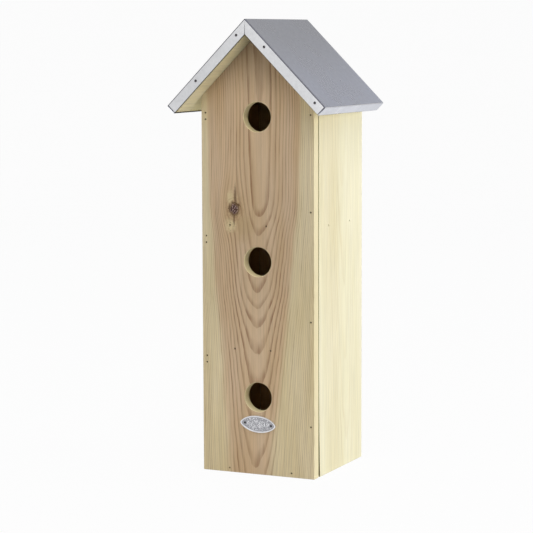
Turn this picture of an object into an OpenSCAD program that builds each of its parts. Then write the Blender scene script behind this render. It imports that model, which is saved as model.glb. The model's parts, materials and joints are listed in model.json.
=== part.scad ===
// Three-story birdhouse: a tall box of nailed boards with three nest chambers,
// one round entry hole for each, under a gabled board roof with a folded zinc cover.
// Millimetres. +Z is up, the front faces -Y, and the origin is at the middle of the base.
// At these sizes it is 508 high, 190.5 wide and 168.3 deep overall.

/* [Body] */
// Width of the body over its side boards
body_w = 137; // [110:0.5:200]
// Depth of the body from the front face to the back face
body_d = 137.2; // [110:0.1:220]
// Clear height of the lower chamber
lower_chamber_h = 123; // [90:0.5:200]
// Clear height of the middle chamber
middle_chamber_h = 127; // [90:0.5:200]
// Height of the upper chamber from its floor to the eave line of the side boards
upper_chamber_h = 136.53; // [80:0.01:220]

/* [Boards] */
// Thickness of the front board
front_board_t = 12; // [9:0.1:20]
// Thickness of the two side boards
side_board_t = 12; // [9:0.1:20]
// Thickness of the back board
back_board_t = 12; // [9:0.1:20]
// Thickness of the base and of the two floors over it
floor_board_t = 12; // [9:0.1:20]
// Open joint between the front board and the right side board
right_joint = 1; // [0.2:0.1:3]
// The same joint at the foot, where the side board's edge falls back
right_joint_foot = 2.4; // [0.2:0.1:5]
// Height at which that edge starts to fall back
right_joint_knee_z = 110; // [20:1:200]

/* [Entry holes] */
// Diameter of the entry holes
hole_d = 33; // [20:0.5:45]
// Centre of the lower hole below the middle floor
lower_hole_drop = 47.2; // [24:0.1:60]
// Centre of the middle hole below the upper floor
middle_hole_drop = 34.1; // [24:0.1:60]
// Centre of the upper hole below the eave line
upper_hole_drop = 22.1; // [-5:0.1:50]

/* [Roof] */
// Slope of the roof in degrees
roof_pitch = 45; // [30:0.5:55]
// Eave edge beyond the side of the body
side_overhang = 26.75; // [15:0.05:50]
// Front edge of the roof ahead of the front face
front_overhang = 30.6; // [10:0.1:60]
// Thickness of the two roof boards
roof_board_t = 11.5; // [9:0.1:20]
// Thickness of the zinc sheet that covers the boards and folds over their edges
sheet_t = 0.5; // [0.4:0.1:1]
// Open seam where two folded edges of the sheet meet
sheet_seam = 0.4; // [0.2:0.1:1]

/* [Oval plate] */
// Width of the oval plate
plate_w = 43.5; // [36:0.5:60]
// Height of the oval plate
plate_h = 19; // [14:0.1:26]
// How pointed its ends are, where 1 is an ellipse
plate_point = 1.3; // [1:0.05:1.6]
// Tilt of the plate in degrees, with its right end up
plate_tilt = -3; // [-8:0.5:8]
// Thickness of the plate
plate_t = 0.8; // [0.5:0.1:1.5]
// Width of its raised rim
plate_rim_w = 1.6; // [0.8:0.1:2.5]
// Height of the rim above the plate
plate_rim_h = 0.5; // [0.2:0.1:1]
// Plate's upper edge below the lower entry hole
plate_gap = 4.5; // [1:0.1:12]
// Each pin from the end of the plate
pin_in = 5.7; // [5:0.1:10]
// Diameter of the pins
pin_d = 1.4; // [1:0.1:1.8]
// Length of the pins in the board
pin_l = 8; // [4:0.5:8.5]
// Diameter of the pins' heads
pin_head_d = 2.6; // [2:0.1:4]
// Height of the pins' heads
pin_head_h = 0.6; // [0.3:0.1:1]

/* [Brads] */
// Diameter of the brads that hold the boards
brad_d = 1.8; // [1.2:0.1:2.4]
// Length of the brads
brad_l = 30; // [20:1:36]
// Depth of the brads' heads below the surface
brad_sink = 0.8; // [0:0.1:2]
// Clearance around brads, nails and pins in their holes, on the radius
nail_clearance = 0.05; // [0.02:0.01:0.1]
// Left row of front brads from the edge of the front board
left_brad_in = 5; // [3:0.1:6.5]
// Distance between the two brads of a pair in the left row
left_pair_step = 7.4; // [4:0.1:12]
// Lower pair of the left row below the middle floor
left_low_drop = 7.5; // [7:0.1:40]
// Middle pair of the left row below the upper floor
left_mid_drop = 10.8; // [7:0.1:40]
// Upper pair of the left row below the eave line
left_top_drop = 21.8; // [8:0.1:60]
// Right row of front brads from the edge of the front board
right_brad_in = 4.2; // [3:0.1:6.5]
// First brad of the right row above the base
right_low_rise = 46.6; // [5:0.1:80]
// Second brad of the right row above the middle floor
right_mid_rise = 28.6; // [5:0.1:80]
// Third brad of the right row above the upper floor
right_up_rise = 11; // [5:0.1:60]
// Fourth brad of the right row below the eave line
right_top_drop = 19.1; // [8:0.1:60]
// Height of the brads in the base
base_brad_z = 4.6; // [3:0.1:7]
// Places across the front of the two brads in the base
base_brad_x = [-36, 40.6]; // [-45:0.1:45]
// Places across the front of the two brads in the middle floor
middle_brad_x = [-28.4, 15.4]; // [-45:0.1:45]
// Places across the front of the two brads in the upper floor
upper_brad_x = [-34, 10.5]; // [-45:0.1:45]
// Front brad of each side board behind the front face
side_brad_front_in = 40; // [38:0.1:60]
// Back brad of each side board ahead of the back face
side_brad_back_in = 37; // [20:0.1:60]
// Brads of the back board from its middle
back_brad_x = 25; // [10:0.5:28]

/* [Roof nails] */
// Diameter of the nails in the roof's folded edges
roof_nail_d = 1.6; // [1:0.1:2.2]
// Length of the roof nails in the board
roof_nail_l = 20; // [10:1:30]
// Diameter of the roof nails' heads
roof_nail_head_d = 2.8; // [2.4:0.1:4]
// Height of the front nails' heads on the sheet
roof_nail_head_h = 0.5; // [0.2:0.1:1]
// Roof nails below the upper face of the sheet
roof_nail_depth = 5.4; // [4:0.1:7]
// Upper nail of the left slope from the ridge
left_ridge_in = 20; // [16:0.5:50]
// Lower nail of the left slope from the eave
left_eave_in = 44.5; // [8:0.5:60]
// Upper nail of the right slope from the ridge
right_ridge_in = 38; // [16:0.5:50]
// Lower nail of the right slope from the eave
right_eave_in = 12.5; // [8:0.5:60]

/* [Hidden] */

// Overshoot of a cut past the face that it opens
cut = 1;
// Sides of the small round pieces
round_fn = 32;
// Sides of the entry holes
hole_fn = 96;
// Step in degrees between the points of the plate's oval
oval_step = 5;

// Heights of the floors, the eave line and the ridge
base_top = floor_board_t;
middle_floor_z = base_top + lower_chamber_h;
middle_top = middle_floor_z + floor_board_t;
upper_floor_z = middle_top + middle_chamber_h;
upper_top = upper_floor_z + floor_board_t;
eave_z = upper_top + upper_chamber_h;
roof_t = roof_board_t + sheet_t;
ridge_z = eave_z + body_w / 2 * tan(roof_pitch) + roof_t / cos(roof_pitch);

// Planes across the depth, front to back, with the nail heads foremost
overall_d = roof_nail_head_h + front_overhang + body_d;
roof_front = -overall_d / 2 + roof_nail_head_h;
roof_back = overall_d / 2;
body_front = roof_front + front_overhang;
body_back = roof_back;
room_front = body_front + front_board_t;
room_back = body_back - back_board_t;

// Planes across the width
body_x = body_w / 2;
room_x = body_x - side_board_t;
slope_l = (body_x + side_overhang) / cos(roof_pitch);

// Centres of the entry holes and of the plate
hole_z = [
    middle_floor_z - lower_hole_drop,
    upper_floor_z - middle_hole_drop,
    eave_z - upper_hole_drop
];
plate_z = hole_z[0] - hole_d / 2 - plate_gap - plate_h / 2;
pin_places = [
    for (side = [-1, 1])
        [0, plate_z] + side * (plate_w / 2 - pin_in) * [cos(plate_tilt), sin(plate_tilt)]
];

// Places of the brads and nails
middle_brad_z = middle_floor_z + floor_board_t / 2;
upper_brad_z = upper_floor_z + floor_board_t / 2;
left_pair_z = [middle_floor_z - left_low_drop, upper_floor_z - left_mid_drop, eave_z - left_top_drop];
right_brad_z = [
    base_top + right_low_rise,
    middle_top + right_mid_rise,
    upper_top + right_up_rise,
    eave_z - right_top_drop
];
front_left_places = [
    for (z = left_pair_z)
        for (side = [-1, 1])
            [left_brad_in - body_x, z + side * left_pair_step / 2]
];
front_right_places = [for (z = right_brad_z) [body_x - right_brad_in, z]];
front_base_places = [for (x = base_brad_x) [x, base_brad_z]];
front_middle_places = [for (x = middle_brad_x) [x, middle_brad_z]];
front_upper_places = [for (x = upper_brad_x) [x, upper_brad_z]];
side_brad_y = [body_front + side_brad_front_in, body_back - side_brad_back_in];
back_base_places = [for (side = [-1, 1]) [side * back_brad_x, base_brad_z]];
back_middle_places = [for (side = [-1, 1]) [side * back_brad_x, middle_brad_z]];
back_upper_places = [for (side = [-1, 1]) [side * back_brad_x, upper_brad_z]];
left_nail_runs = [left_ridge_in, slope_l - left_eave_in];
right_nail_runs = [right_ridge_in, slope_l - right_eave_in];

// Colours of the finishes
front_wood = [0.74, 0.64, 0.50];
pale_wood = [0.93, 0.89, 0.75];
roof_wood = [0.82, 0.74, 0.54];
zinc = [0.66, 0.67, 0.71];
brad_steel = [0.30, 0.26, 0.22];
plate_metal = [0.78, 0.78, 0.77];

// Height of the roof boards' underside at x
function under_z(x) = ridge_z - roof_t / cos(roof_pitch) - abs(x) * tan(roof_pitch);

// A point of the roof's section: down the slope from the ridge, and below its upper face
function slope_pt(run, depth, side) = [
    side * (run * cos(roof_pitch) - depth * sin(roof_pitch)),
    ridge_z - run * sin(roof_pitch) - depth * cos(roof_pitch)
];

// The point over the middle of the house at a depth below the roof's upper face
function ridge_pt(depth) = [0, ridge_z - depth / cos(roof_pitch)];

// How far down the slope a point at this depth stands over x
function run_at(x, depth) = (x + depth * sin(roof_pitch)) / cos(roof_pitch);

// Points of an oval with somewhat pointed ends
function oval(w, h) = [
    for (a = [0:oval_step:360 - oval_step])
        [w / 2 * cos(a), h / 2 * sign(sin(a)) * pow(abs(sin(a)), plate_point)]
];

// A prism with its section across the house, between two planes of the depth
module across(points, y0, y1) {
    translate([0, y1, 0]) rotate([90, 0, 0]) linear_extrude(y1 - y0) polygon(points);
}

// A prism with its section along the depth, between two planes of the width
module along(points, x0, x1) {
    translate([x0, 0, 0]) rotate([90, 0, 90]) linear_extrude(x1 - x0) polygon(points);
}

// The hole around a shank of diameter d along +Z, from above the plane z = 0 to a depth below it
module shank_hole(d, depth, above = 0) {
    translate([0, 0, -above - cut])
        cylinder(r = d / 2 + nail_clearance, h = above + cut + depth, $fn = round_fn);
}

// A brad along +Z, with its head sunk below the plane z = 0
module brad() {
    translate([0, 0, brad_sink]) cylinder(d = brad_d, h = brad_l, $fn = round_fn);
}

// The hole that a brad leaves, open at the plane z = 0
module brad_hole() {
    shank_hole(brad_d, brad_sink + brad_l);
}

// What follows, set square to the front face at each place of a list of [x, z]
module at_front(places) {
    for (p = places) translate([p[0], body_front, p[1]]) rotate([-90, 0, 0]) children();
}

// What follows, set square to the back face at each place
module at_back(places) {
    for (p = places) translate([p[0], body_back, p[1]]) rotate([90, 0, 0]) children();
}

// What follows, set square to a side face where its brads meet the upper floor
module at_side(side) {
    for (y = side_brad_y) translate([side * body_x, y, upper_brad_z]) rotate([0, -side * 90, 0]) children();
}

// What follows, set into the roof's front edge (way 1) or back edge (way -1) at each nail of a slope
module at_roof_edge(side, way) {
    runs = side < 0 ? left_nail_runs : right_nail_runs;
    for (run = runs) {
        p = slope_pt(run, roof_nail_depth, side);
        translate([p[0], way > 0 ? roof_front : roof_back, p[1]]) rotate([-way * 90, 0, 0]) children();
    }
}

// A front roof nail along +Z: a low head on the sheet at z = 0, and its shank in the board
module roof_front_nail() {
    crown_d = roof_nail_head_d - 2 * roof_nail_head_h;
    translate([0, 0, -roof_nail_head_h])
        cylinder(d1 = crown_d, d2 = roof_nail_head_d, h = roof_nail_head_h, $fn = round_fn);
    cylinder(d = roof_nail_d, h = roof_nail_l, $fn = round_fn);
}

// A back roof nail along +Z: its flat head lies flush in the sheet
module roof_back_nail() {
    cylinder(d = roof_nail_head_d, h = sheet_t, $fn = round_fn);
    cylinder(d = roof_nail_d, h = roof_nail_l, $fn = round_fn);
}

// The hole of a roof nail's shank
module roof_shank_hole() {
    shank_hole(roof_nail_d, roof_nail_l);
}

// The hole of a flush head in the sheet
module roof_head_hole() {
    shank_hole(roof_nail_head_d, sheet_t);
}

// What follows, set square to the front face at the two pins of the plate
module at_pins() {
    at_front(pin_places) children();
}

// The hole of a pin through the plate and into the front board
module pin_hole() {
    shank_hole(pin_d, pin_l, plate_t);
}

// The gabled front board with its three entry holes
module front_wall() {
    outline = [
        [-body_x, 0], [body_x, 0], [body_x, under_z(body_x)], [0, under_z(0)], [-body_x, under_z(body_x)]
    ];
    color(front_wood) difference() {
        across(outline, body_front, room_front);
        for (z = hole_z)
            translate([0, body_front - cut, z]) rotate([-90, 0, 0])
                cylinder(d = hole_d, h = front_board_t + 2 * cut, $fn = hole_fn);
        at_front(front_left_places) brad_hole();
        at_front(front_right_places) brad_hole();
        at_front(front_base_places) brad_hole();
        at_front(front_middle_places) brad_hole();
        at_front(front_upper_places) brad_hole();
        at_pins() pin_hole();
    }
}

// The gabled back board, between the side boards
module back_wall() {
    outline = [
        [-room_x, 0], [room_x, 0], [room_x, under_z(room_x)], [0, under_z(0)], [-room_x, under_z(room_x)]
    ];
    color(pale_wood) difference() {
        across(outline, room_back, body_back);
        at_back(back_base_places) brad_hole();
        at_back(back_middle_places) brad_hole();
        at_back(back_upper_places) brad_hole();
    }
}

// A side board with its top bevelled to the roof, from a front edge given as [y, z] points, foot first
module side_board(side, front_edge) {
    section = [
        [side * room_x, 0], [side * body_x, 0],
        [side * body_x, under_z(body_x)], [side * room_x, under_z(room_x)]
    ];
    profile = concat(front_edge, [[body_back, under_z(room_x)], [body_back, 0]]);
    intersection() {
        across(section, room_front, body_back);
        along(profile, side < 0 ? -body_x : room_x, side < 0 ? -room_x : body_x);
    }
}

// The left side board, tight against the front board
module left_wall() {
    color(pale_wood) difference() {
        side_board(-1, [[room_front, 0], [room_front, under_z(room_x)]]);
        at_front(front_left_places) brad_hole();
        at_side(-1) brad_hole();
    }
}

// The right side board, with an open joint to the front board that widens at its foot
module right_wall() {
    color(pale_wood) difference() {
        side_board(1, [
            [room_front + right_joint_foot, 0],
            [room_front + right_joint, right_joint_knee_z],
            [room_front + right_joint, under_z(room_x)]
        ]);
        at_front(front_right_places) brad_hole();
        at_side(1) brad_hole();
    }
}

// A floor between the four walls, from its underside
module floor_board(z) {
    translate([-room_x, room_front, z]) cube([2 * room_x, room_back - room_front, floor_board_t]);
}

// The base, level with the feet of the walls
module base_floor() {
    color(pale_wood) difference() {
        floor_board(0);
        at_front(front_base_places) brad_hole();
        at_back(back_base_places) brad_hole();
    }
}

// The floor of the middle chamber
module middle_floor() {
    color(pale_wood) difference() {
        floor_board(middle_floor_z);
        at_front(front_middle_places) brad_hole();
        at_back(back_middle_places) brad_hole();
    }
}

// The floor of the upper chamber
module upper_floor() {
    color(pale_wood) difference() {
        floor_board(upper_floor_z);
        at_front(front_upper_places) brad_hole();
        at_back(back_upper_places) brad_hole();
        at_side(-1) brad_hole();
        at_side(1) brad_hole();
    }
}

// A roof board under one slope of the sheet, mitred at the ridge
module roof_board(side) {
    outline = [
        ridge_pt(sheet_t),
        slope_pt(slope_l - sheet_t, sheet_t, side),
        slope_pt(slope_l - sheet_t, roof_t, side),
        ridge_pt(roof_t)
    ];
    color(roof_wood) difference() {
        across(outline, roof_front + sheet_t, roof_back - sheet_t);
        at_roof_edge(side, 1) roof_shank_hole();
        at_roof_edge(side, -1) roof_shank_hole();
    }
}

module left_roof_board() {
    roof_board(-1);
}

module right_roof_board() {
    roof_board(1);
}

// One folded edge of the sheet across the end of a slope, in the section of the roof
function folded_edge(side) = [
    slope_pt(run_at(sheet_seam / 2, sheet_t / 2), sheet_t / 2, side),
    slope_pt(slope_l - sheet_t - sheet_seam, sheet_t / 2, side),
    slope_pt(slope_l - sheet_t - sheet_seam, roof_t, side),
    slope_pt(run_at(sheet_seam / 2, roof_t), roof_t, side)
];

// The zinc sheet: bent at the ridge, and folded down over the eaves, the front edge and the back edge
module roof_sheet() {
    skin = [
        slope_pt(slope_l, roof_t, -1), slope_pt(slope_l, 0, -1),
        ridge_pt(0),
        slope_pt(slope_l, 0, 1), slope_pt(slope_l, roof_t, 1),
        slope_pt(slope_l - sheet_t, roof_t, 1), slope_pt(slope_l - sheet_t, sheet_t, 1),
        ridge_pt(sheet_t),
        slope_pt(slope_l - sheet_t, sheet_t, -1), slope_pt(slope_l - sheet_t, roof_t, -1)
    ];
    color(zinc) difference() {
        union() {
            across(skin, roof_front, roof_back);
            for (side = [-1, 1])
                for (y = [roof_front, roof_back - sheet_t])
                    across(folded_edge(side), y, y + sheet_t);
        }
        for (side = [-1, 1]) {
            at_roof_edge(side, 1) roof_shank_hole();
            at_roof_edge(side, -1) roof_head_hole();
        }
    }
}

// The bare oval plate under the lower entry hole, with a raised rim
module oval_plate() {
    color(plate_metal) difference() {
        translate([0, body_front, plate_z]) rotate([90, 0, 0]) rotate(plate_tilt) {
            linear_extrude(plate_t) polygon(oval(plate_w, plate_h));
            linear_extrude(plate_t + plate_rim_h) difference() {
                polygon(oval(plate_w, plate_h));
                polygon(oval(plate_w - 2 * plate_rim_w, plate_h - 2 * plate_rim_w));
            }
        }
        at_pins() pin_hole();
    }
}

// The two pins of the plate
module plate_pins() {
    color(brad_steel) at_pins() {
        translate([0, 0, -plate_t - pin_head_h]) cylinder(d = pin_head_d, h = pin_head_h, $fn = round_fn);
        translate([0, 0, -plate_t]) cylinder(d = pin_d, h = plate_t + pin_l, $fn = round_fn);
    }
}

// The brads, row by row
module front_left_brads() {
    color(brad_steel) at_front(front_left_places) brad();
}

module front_right_brads() {
    color(brad_steel) at_front(front_right_places) brad();
}

module front_base_brads() {
    color(brad_steel) at_front(front_base_places) brad();
}

module front_middle_floor_brads() {
    color(brad_steel) at_front(front_middle_places) brad();
}

module front_upper_floor_brads() {
    color(brad_steel) at_front(front_upper_places) brad();
}

module left_wall_brads() {
    color(brad_steel) at_side(-1) brad();
}

module right_wall_brads() {
    color(brad_steel) at_side(1) brad();
}

module back_wall_brads() {
    color(brad_steel) {
        at_back(back_base_places) brad();
        at_back(back_middle_places) brad();
        at_back(back_upper_places) brad();
    }
}

// The nails in the folded edges of the roof
module roof_front_nails() {
    color(brad_steel) for (side = [-1, 1]) at_roof_edge(side, 1) roof_front_nail();
}

module roof_back_nails() {
    color(brad_steel) for (side = [-1, 1]) at_roof_edge(side, -1) roof_back_nail();
}

front_wall();
back_wall();
left_wall();
right_wall();
base_floor();
middle_floor();
upper_floor();
left_roof_board();
right_roof_board();
roof_sheet();
oval_plate();
plate_pins();
front_left_brads();
front_right_brads();
front_base_brads();
front_middle_floor_brads();
front_upper_floor_brads();
left_wall_brads();
right_wall_brads();
back_wall_brads();
roof_front_nails();
roof_back_nails();
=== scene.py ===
"""Dresses a three-story birdhouse: planed boards, a folded zinc roof, an oval plate and its nails.

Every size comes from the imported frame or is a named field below, in metres. +Z is up and the front faces -Y.
"""
import json
import logging
import math
import random
from collections.abc import Callable, Iterable, Sequence
from dataclasses import dataclass
from enum import Enum
from functools import cached_property, partial

import bmesh
import bpy
from mathutils import Matrix, Vector, noise


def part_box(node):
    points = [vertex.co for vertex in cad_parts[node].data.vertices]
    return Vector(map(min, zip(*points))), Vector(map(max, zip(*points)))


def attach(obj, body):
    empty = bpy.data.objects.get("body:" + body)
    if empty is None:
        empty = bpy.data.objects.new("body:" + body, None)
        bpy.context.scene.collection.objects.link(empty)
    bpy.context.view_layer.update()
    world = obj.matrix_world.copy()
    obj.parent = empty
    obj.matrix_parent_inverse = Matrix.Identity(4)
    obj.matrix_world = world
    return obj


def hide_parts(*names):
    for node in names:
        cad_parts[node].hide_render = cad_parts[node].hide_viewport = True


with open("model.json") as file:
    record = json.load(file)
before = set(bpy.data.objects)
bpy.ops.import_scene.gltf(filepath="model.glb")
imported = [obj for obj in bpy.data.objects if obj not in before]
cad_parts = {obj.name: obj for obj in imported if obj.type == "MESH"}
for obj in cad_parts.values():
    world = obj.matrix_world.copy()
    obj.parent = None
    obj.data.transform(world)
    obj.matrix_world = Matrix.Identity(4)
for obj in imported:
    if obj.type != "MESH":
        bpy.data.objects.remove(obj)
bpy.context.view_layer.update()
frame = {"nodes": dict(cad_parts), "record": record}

LOG = logging.getLogger("birdhouse")
BODY = "root"
MM = 0.001
WELD = 1e-6
THIN = 1e-7
SLOPE = math.sqrt(0.5)
TO_BACK = (0, 1, 0)
TO_FRONT = (0, -1, 0)
TO_LEFT = (-1, 0, 0)
TO_RIGHT = (1, 0, 0)
UP = (0, 0, 1)
DOWN = (0, 0, -1)
VECTOR = "NodeSocketVector"
NUMBER = "NodeSocketFloat"

Colour = tuple[float, float, float, float]
Socket = bpy.types.NodeSocket
Feed = Socket | float | Sequence[float]
Pair = tuple[float, float]
Triple = tuple[float, float, float]
Section = list[Pair]
Mesh = bmesh.types.BMesh
Vert = bmesh.types.BMVert
Edge = bmesh.types.BMEdge
Face = bmesh.types.BMFace
Piece = bpy.types.Object
Side = bpy.types.MeshPolygon


def shade(red: int, green: int, blue: int) -> Colour:
    """Turns a display colour into the linear colour that shaders take.

    Args:
        red: Red from 0 to 255.
        green: Green from 0 to 255.
        blue: Blue from 0 to 255.

    Returns:
        The linear colour with full alpha.
    """
    def linear(level: int) -> float:
        """Gives the linear value of one display level."""
        part = level / 255
        return part / 12.92 if part <= 0.04045 else ((part + 0.055) / 1.055) ** 2.4

    return (linear(red), linear(green), linear(blue), 1.0)


def slot_of(node: str) -> str:
    """Finds the material slot that the record gives a node."""
    rows = frame["record"]["subparts"]
    return next(row["material_slot"] for row in rows if row["node"] == node)


@dataclass(frozen=True)
class Pattern:
    """A noise pattern: its features to the metre each way, its finer octaves and how strong they are."""

    fineness: Triple
    detail: float = 2.0
    roughness: float = 0.5


class Bench:
    """Lays the nodes of one shader tree and wires them together."""

    def __init__(self, tree: bpy.types.NodeTree) -> None:
        """Starts work on a tree."""
        self.tree = tree

    def lay(self, kind: str, **settings: object) -> bpy.types.Node:
        """Adds a node to the tree.

        Args:
            kind: Blender's name of the node type.
            settings: Properties of the node by name.

        Returns:
            The new node.
        """
        node = self.tree.nodes.new(kind)
        for name, value in settings.items():
            setattr(node, name, value)
        return node

    def feed(self, socket: Socket, value: Feed) -> None:
        """Wires a socket to another one, or sets it to a plain value.

        Args:
            socket: The input to fill.
            value: An output socket, a number or a row of numbers.
        """
        if isinstance(value, bpy.types.NodeSocket):
            self.tree.links.new(value, socket)
        else:
            socket.default_value = value

    def made(
        self, kind: str, feeds: dict[str | int, Feed], output: str | int = 0, **settings: object,
    ) -> Socket:
        """Adds a node and fills its inputs.

        Args:
            kind: Blender's name of the node type.
            feeds: What its inputs get, by their names or numbers.
            output: Name or number of the output wanted.
            settings: Properties of the node by name.

        Returns:
            The output.
        """
        node = self.lay(kind, **settings)
        for socket, value in feeds.items():
            self.feed(node.inputs[socket], value)
        return node.outputs[output]

    def math(self, operation: str, *values: Feed) -> Socket:
        """Works out a number from one to three others, by Blender's name of the operation."""
        return self.made("ShaderNodeMath", dict(enumerate(values)), operation=operation)

    def vector(self, operation: str, *values: Feed) -> Socket:
        """Works out a vector from two others, by Blender's name of the operation."""
        return self.made("ShaderNodeVectorMath", dict(enumerate(values)), operation=operation)

    def hypotenuse(self, first: Feed, second: Feed) -> Socket:
        """Works out the distance that two numbers at right angles span."""
        square = self.math("MULTIPLY_ADD", first, first, self.math("MULTIPLY", second, second))
        return self.math("SQRT", square)

    def split(self, vector: Feed) -> tuple[Socket, ...]:
        """Takes a vector apart.

        Args:
            vector: The vector.

        Returns:
            Its three parts.
        """
        node = self.lay("ShaderNodeSeparateXYZ")
        self.feed(node.inputs["Vector"], vector)
        return tuple(node.outputs)

    def join(self, x: Feed, y: Feed, z: Feed) -> Socket:
        """Makes a vector of three numbers."""
        return self.made("ShaderNodeCombineXYZ", {"X": x, "Y": y, "Z": z})

    def product(self, first: Feed, *others: Feed) -> Socket:
        """Multiplies numbers one after the other.

        Args:
            first: First number.
            others: The numbers that it is multiplied by.

        Returns:
            The product.
        """
        for other in others:
            first = self.math("MULTIPLY", first, other)
        return first

    def shifted(self, place: Feed, seed: Feed) -> Socket:
        """Moves a place by a seed, so that no two boards show the same pattern."""
        return self.vector("ADD", place, self.join(seed, seed, seed))

    def noise(self, place: Feed, pattern: Pattern) -> Socket:
        """Reads a noise pattern.

        Args:
            place: Where the pattern is read.
            pattern: The pattern.

        Returns:
            Its value, about 0.5 in the middle.
        """
        spread = self.vector("MULTIPLY", place, pattern.fineness)
        feeds = {"Vector": spread, "Scale": 1.0, "Detail": pattern.detail, "Roughness": pattern.roughness}
        return self.made("ShaderNodeTexNoise", feeds, "Fac")

    def fade(self, value: Feed, low: Feed, high: Feed, start: float = 0.0, end: float = 1.0) -> Socket:
        """Passes smoothly from one number to another as a value rises.

        Args:
            value: The value that leads.
            low: Where the passage starts.
            high: Where it ends.
            start: Result at low and under.
            end: Result at high and over.

        Returns:
            The result.
        """
        feeds = {"Value": value, "From Min": low, "From Max": high, "To Min": start, "To Max": end}
        return self.made("ShaderNodeMapRange", feeds, interpolation_type="SMOOTHSTEP")

    def mix(self, share: Feed, first: Feed, second: Feed) -> Socket:
        """Mixes two colours.

        Args:
            share: Share of the second colour.
            first: First colour.
            second: Second colour.

        Returns:
            The mixed colour.
        """
        node = self.lay("ShaderNodeMix", data_type="RGBA")
        for socket, value in (("Factor_Float", share), ("A_Color", first), ("B_Color", second)):
            self.feed(next(found for found in node.inputs if found.identifier == socket), value)
        return next(found for found in node.outputs if found.identifier == "Result_Color")

    def tint(self, colour: Feed, brightness: Feed, saturation: Feed = 1.0) -> Socket:
        """Multiplies a colour's brightness and its strength."""
        feeds = {"Color": colour, "Value": brightness, "Saturation": saturation}
        return self.made("ShaderNodeHueSaturation", feeds)

    def curve(self, value: Feed, points: Sequence[Pair]) -> Socket:
        """Reads a smooth curve.

        Args:
            value: Where the curve is read, from 0 to 1.
            points: Points that it runs through, each part from 0 to 1.

        Returns:
            Height of the curve there.
        """
        node = self.lay("ShaderNodeFloatCurve")
        line = node.mapping.curves[0]
        while len(line.points) < len(points):
            line.points.new(0.5, 0.5)
        for knot, place in zip(line.points, points):
            knot.location = place
        node.mapping.update()
        self.feed(node.inputs["Value"], value)
        return node.outputs[0]

    def attribute(self, name: str) -> Socket:
        """Reads a number that the mesh holds, by its name."""
        return self.lay("ShaderNodeAttribute", attribute_name=name).outputs["Fac"]

    def object_place(self, turn: Matrix = Matrix.Identity(3)) -> Socket:
        """Reads the place on the object, turned to a board's own directions.

        Args:
            turn: Rows of the three directions to read along.

        Returns:
            The place in metres.
        """
        here = self.lay("ShaderNodeTexCoord").outputs["Object"]
        feeds = {"Vector": here, "Rotation": turn.to_euler("XYZ")}
        return self.made("ShaderNodeMapping", feeds, vector_type="POINT")

    def bump(self, height: Feed, share: float, depth: float) -> Socket:
        """Gives the normal of a surface whose height of 1 stands for a depth in metres."""
        feeds = {"Height": height, "Strength": share, "Distance": depth}
        return self.made("ShaderNodeBump", feeds)


class Effect:
    """A surface effect that several finishes share, kept as one shader node group."""

    title: str = ""
    inputs: dict[str, str] = {}
    outputs: tuple[str, ...] = ()

    def wire(self, bench: Bench, given: dict[str, Socket]) -> dict[str, Socket]:
        """Lays the group's own nodes.

        Args:
            bench: Bench on the group's tree.
            given: The group's inputs by name.

        Returns:
            The group's outputs by name.
        """
        raise NotImplementedError

    def tree(self) -> bpy.types.NodeTree:
        """Finds the group, or builds it the first time.

        Returns:
            The group's node tree.
        """
        found = bpy.data.node_groups.get(self.title)
        if found:
            return found
        tree = bpy.data.node_groups.new(self.title, "ShaderNodeTree")
        for name, kind in self.inputs.items():
            tree.interface.new_socket(name=name, in_out="INPUT", socket_type=kind)
        for name in self.outputs:
            tree.interface.new_socket(name=name, in_out="OUTPUT", socket_type=NUMBER)
        bench = Bench(tree)
        entry = bench.lay("NodeGroupInput")
        leave = bench.lay("NodeGroupOutput")
        made = self.wire(bench, {name: entry.outputs[name] for name in self.inputs})
        for name, socket in made.items():
            bench.feed(leave.inputs[name], socket)
        return tree

    def place(self, bench: Bench, **values: Feed) -> dict[str, Socket]:
        """Places the group in a material.

        Args:
            bench: Bench on the material's tree.
            values: What each input gets, by its name with _ for a space.

        Returns:
            The group's outputs by name.
        """
        node = bench.lay("ShaderNodeGroup", node_tree=self.tree())
        for name, value in values.items():
            bench.feed(node.inputs[name.replace("_", " ")], value)
        return {name: node.outputs[name] for name in self.outputs}


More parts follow.
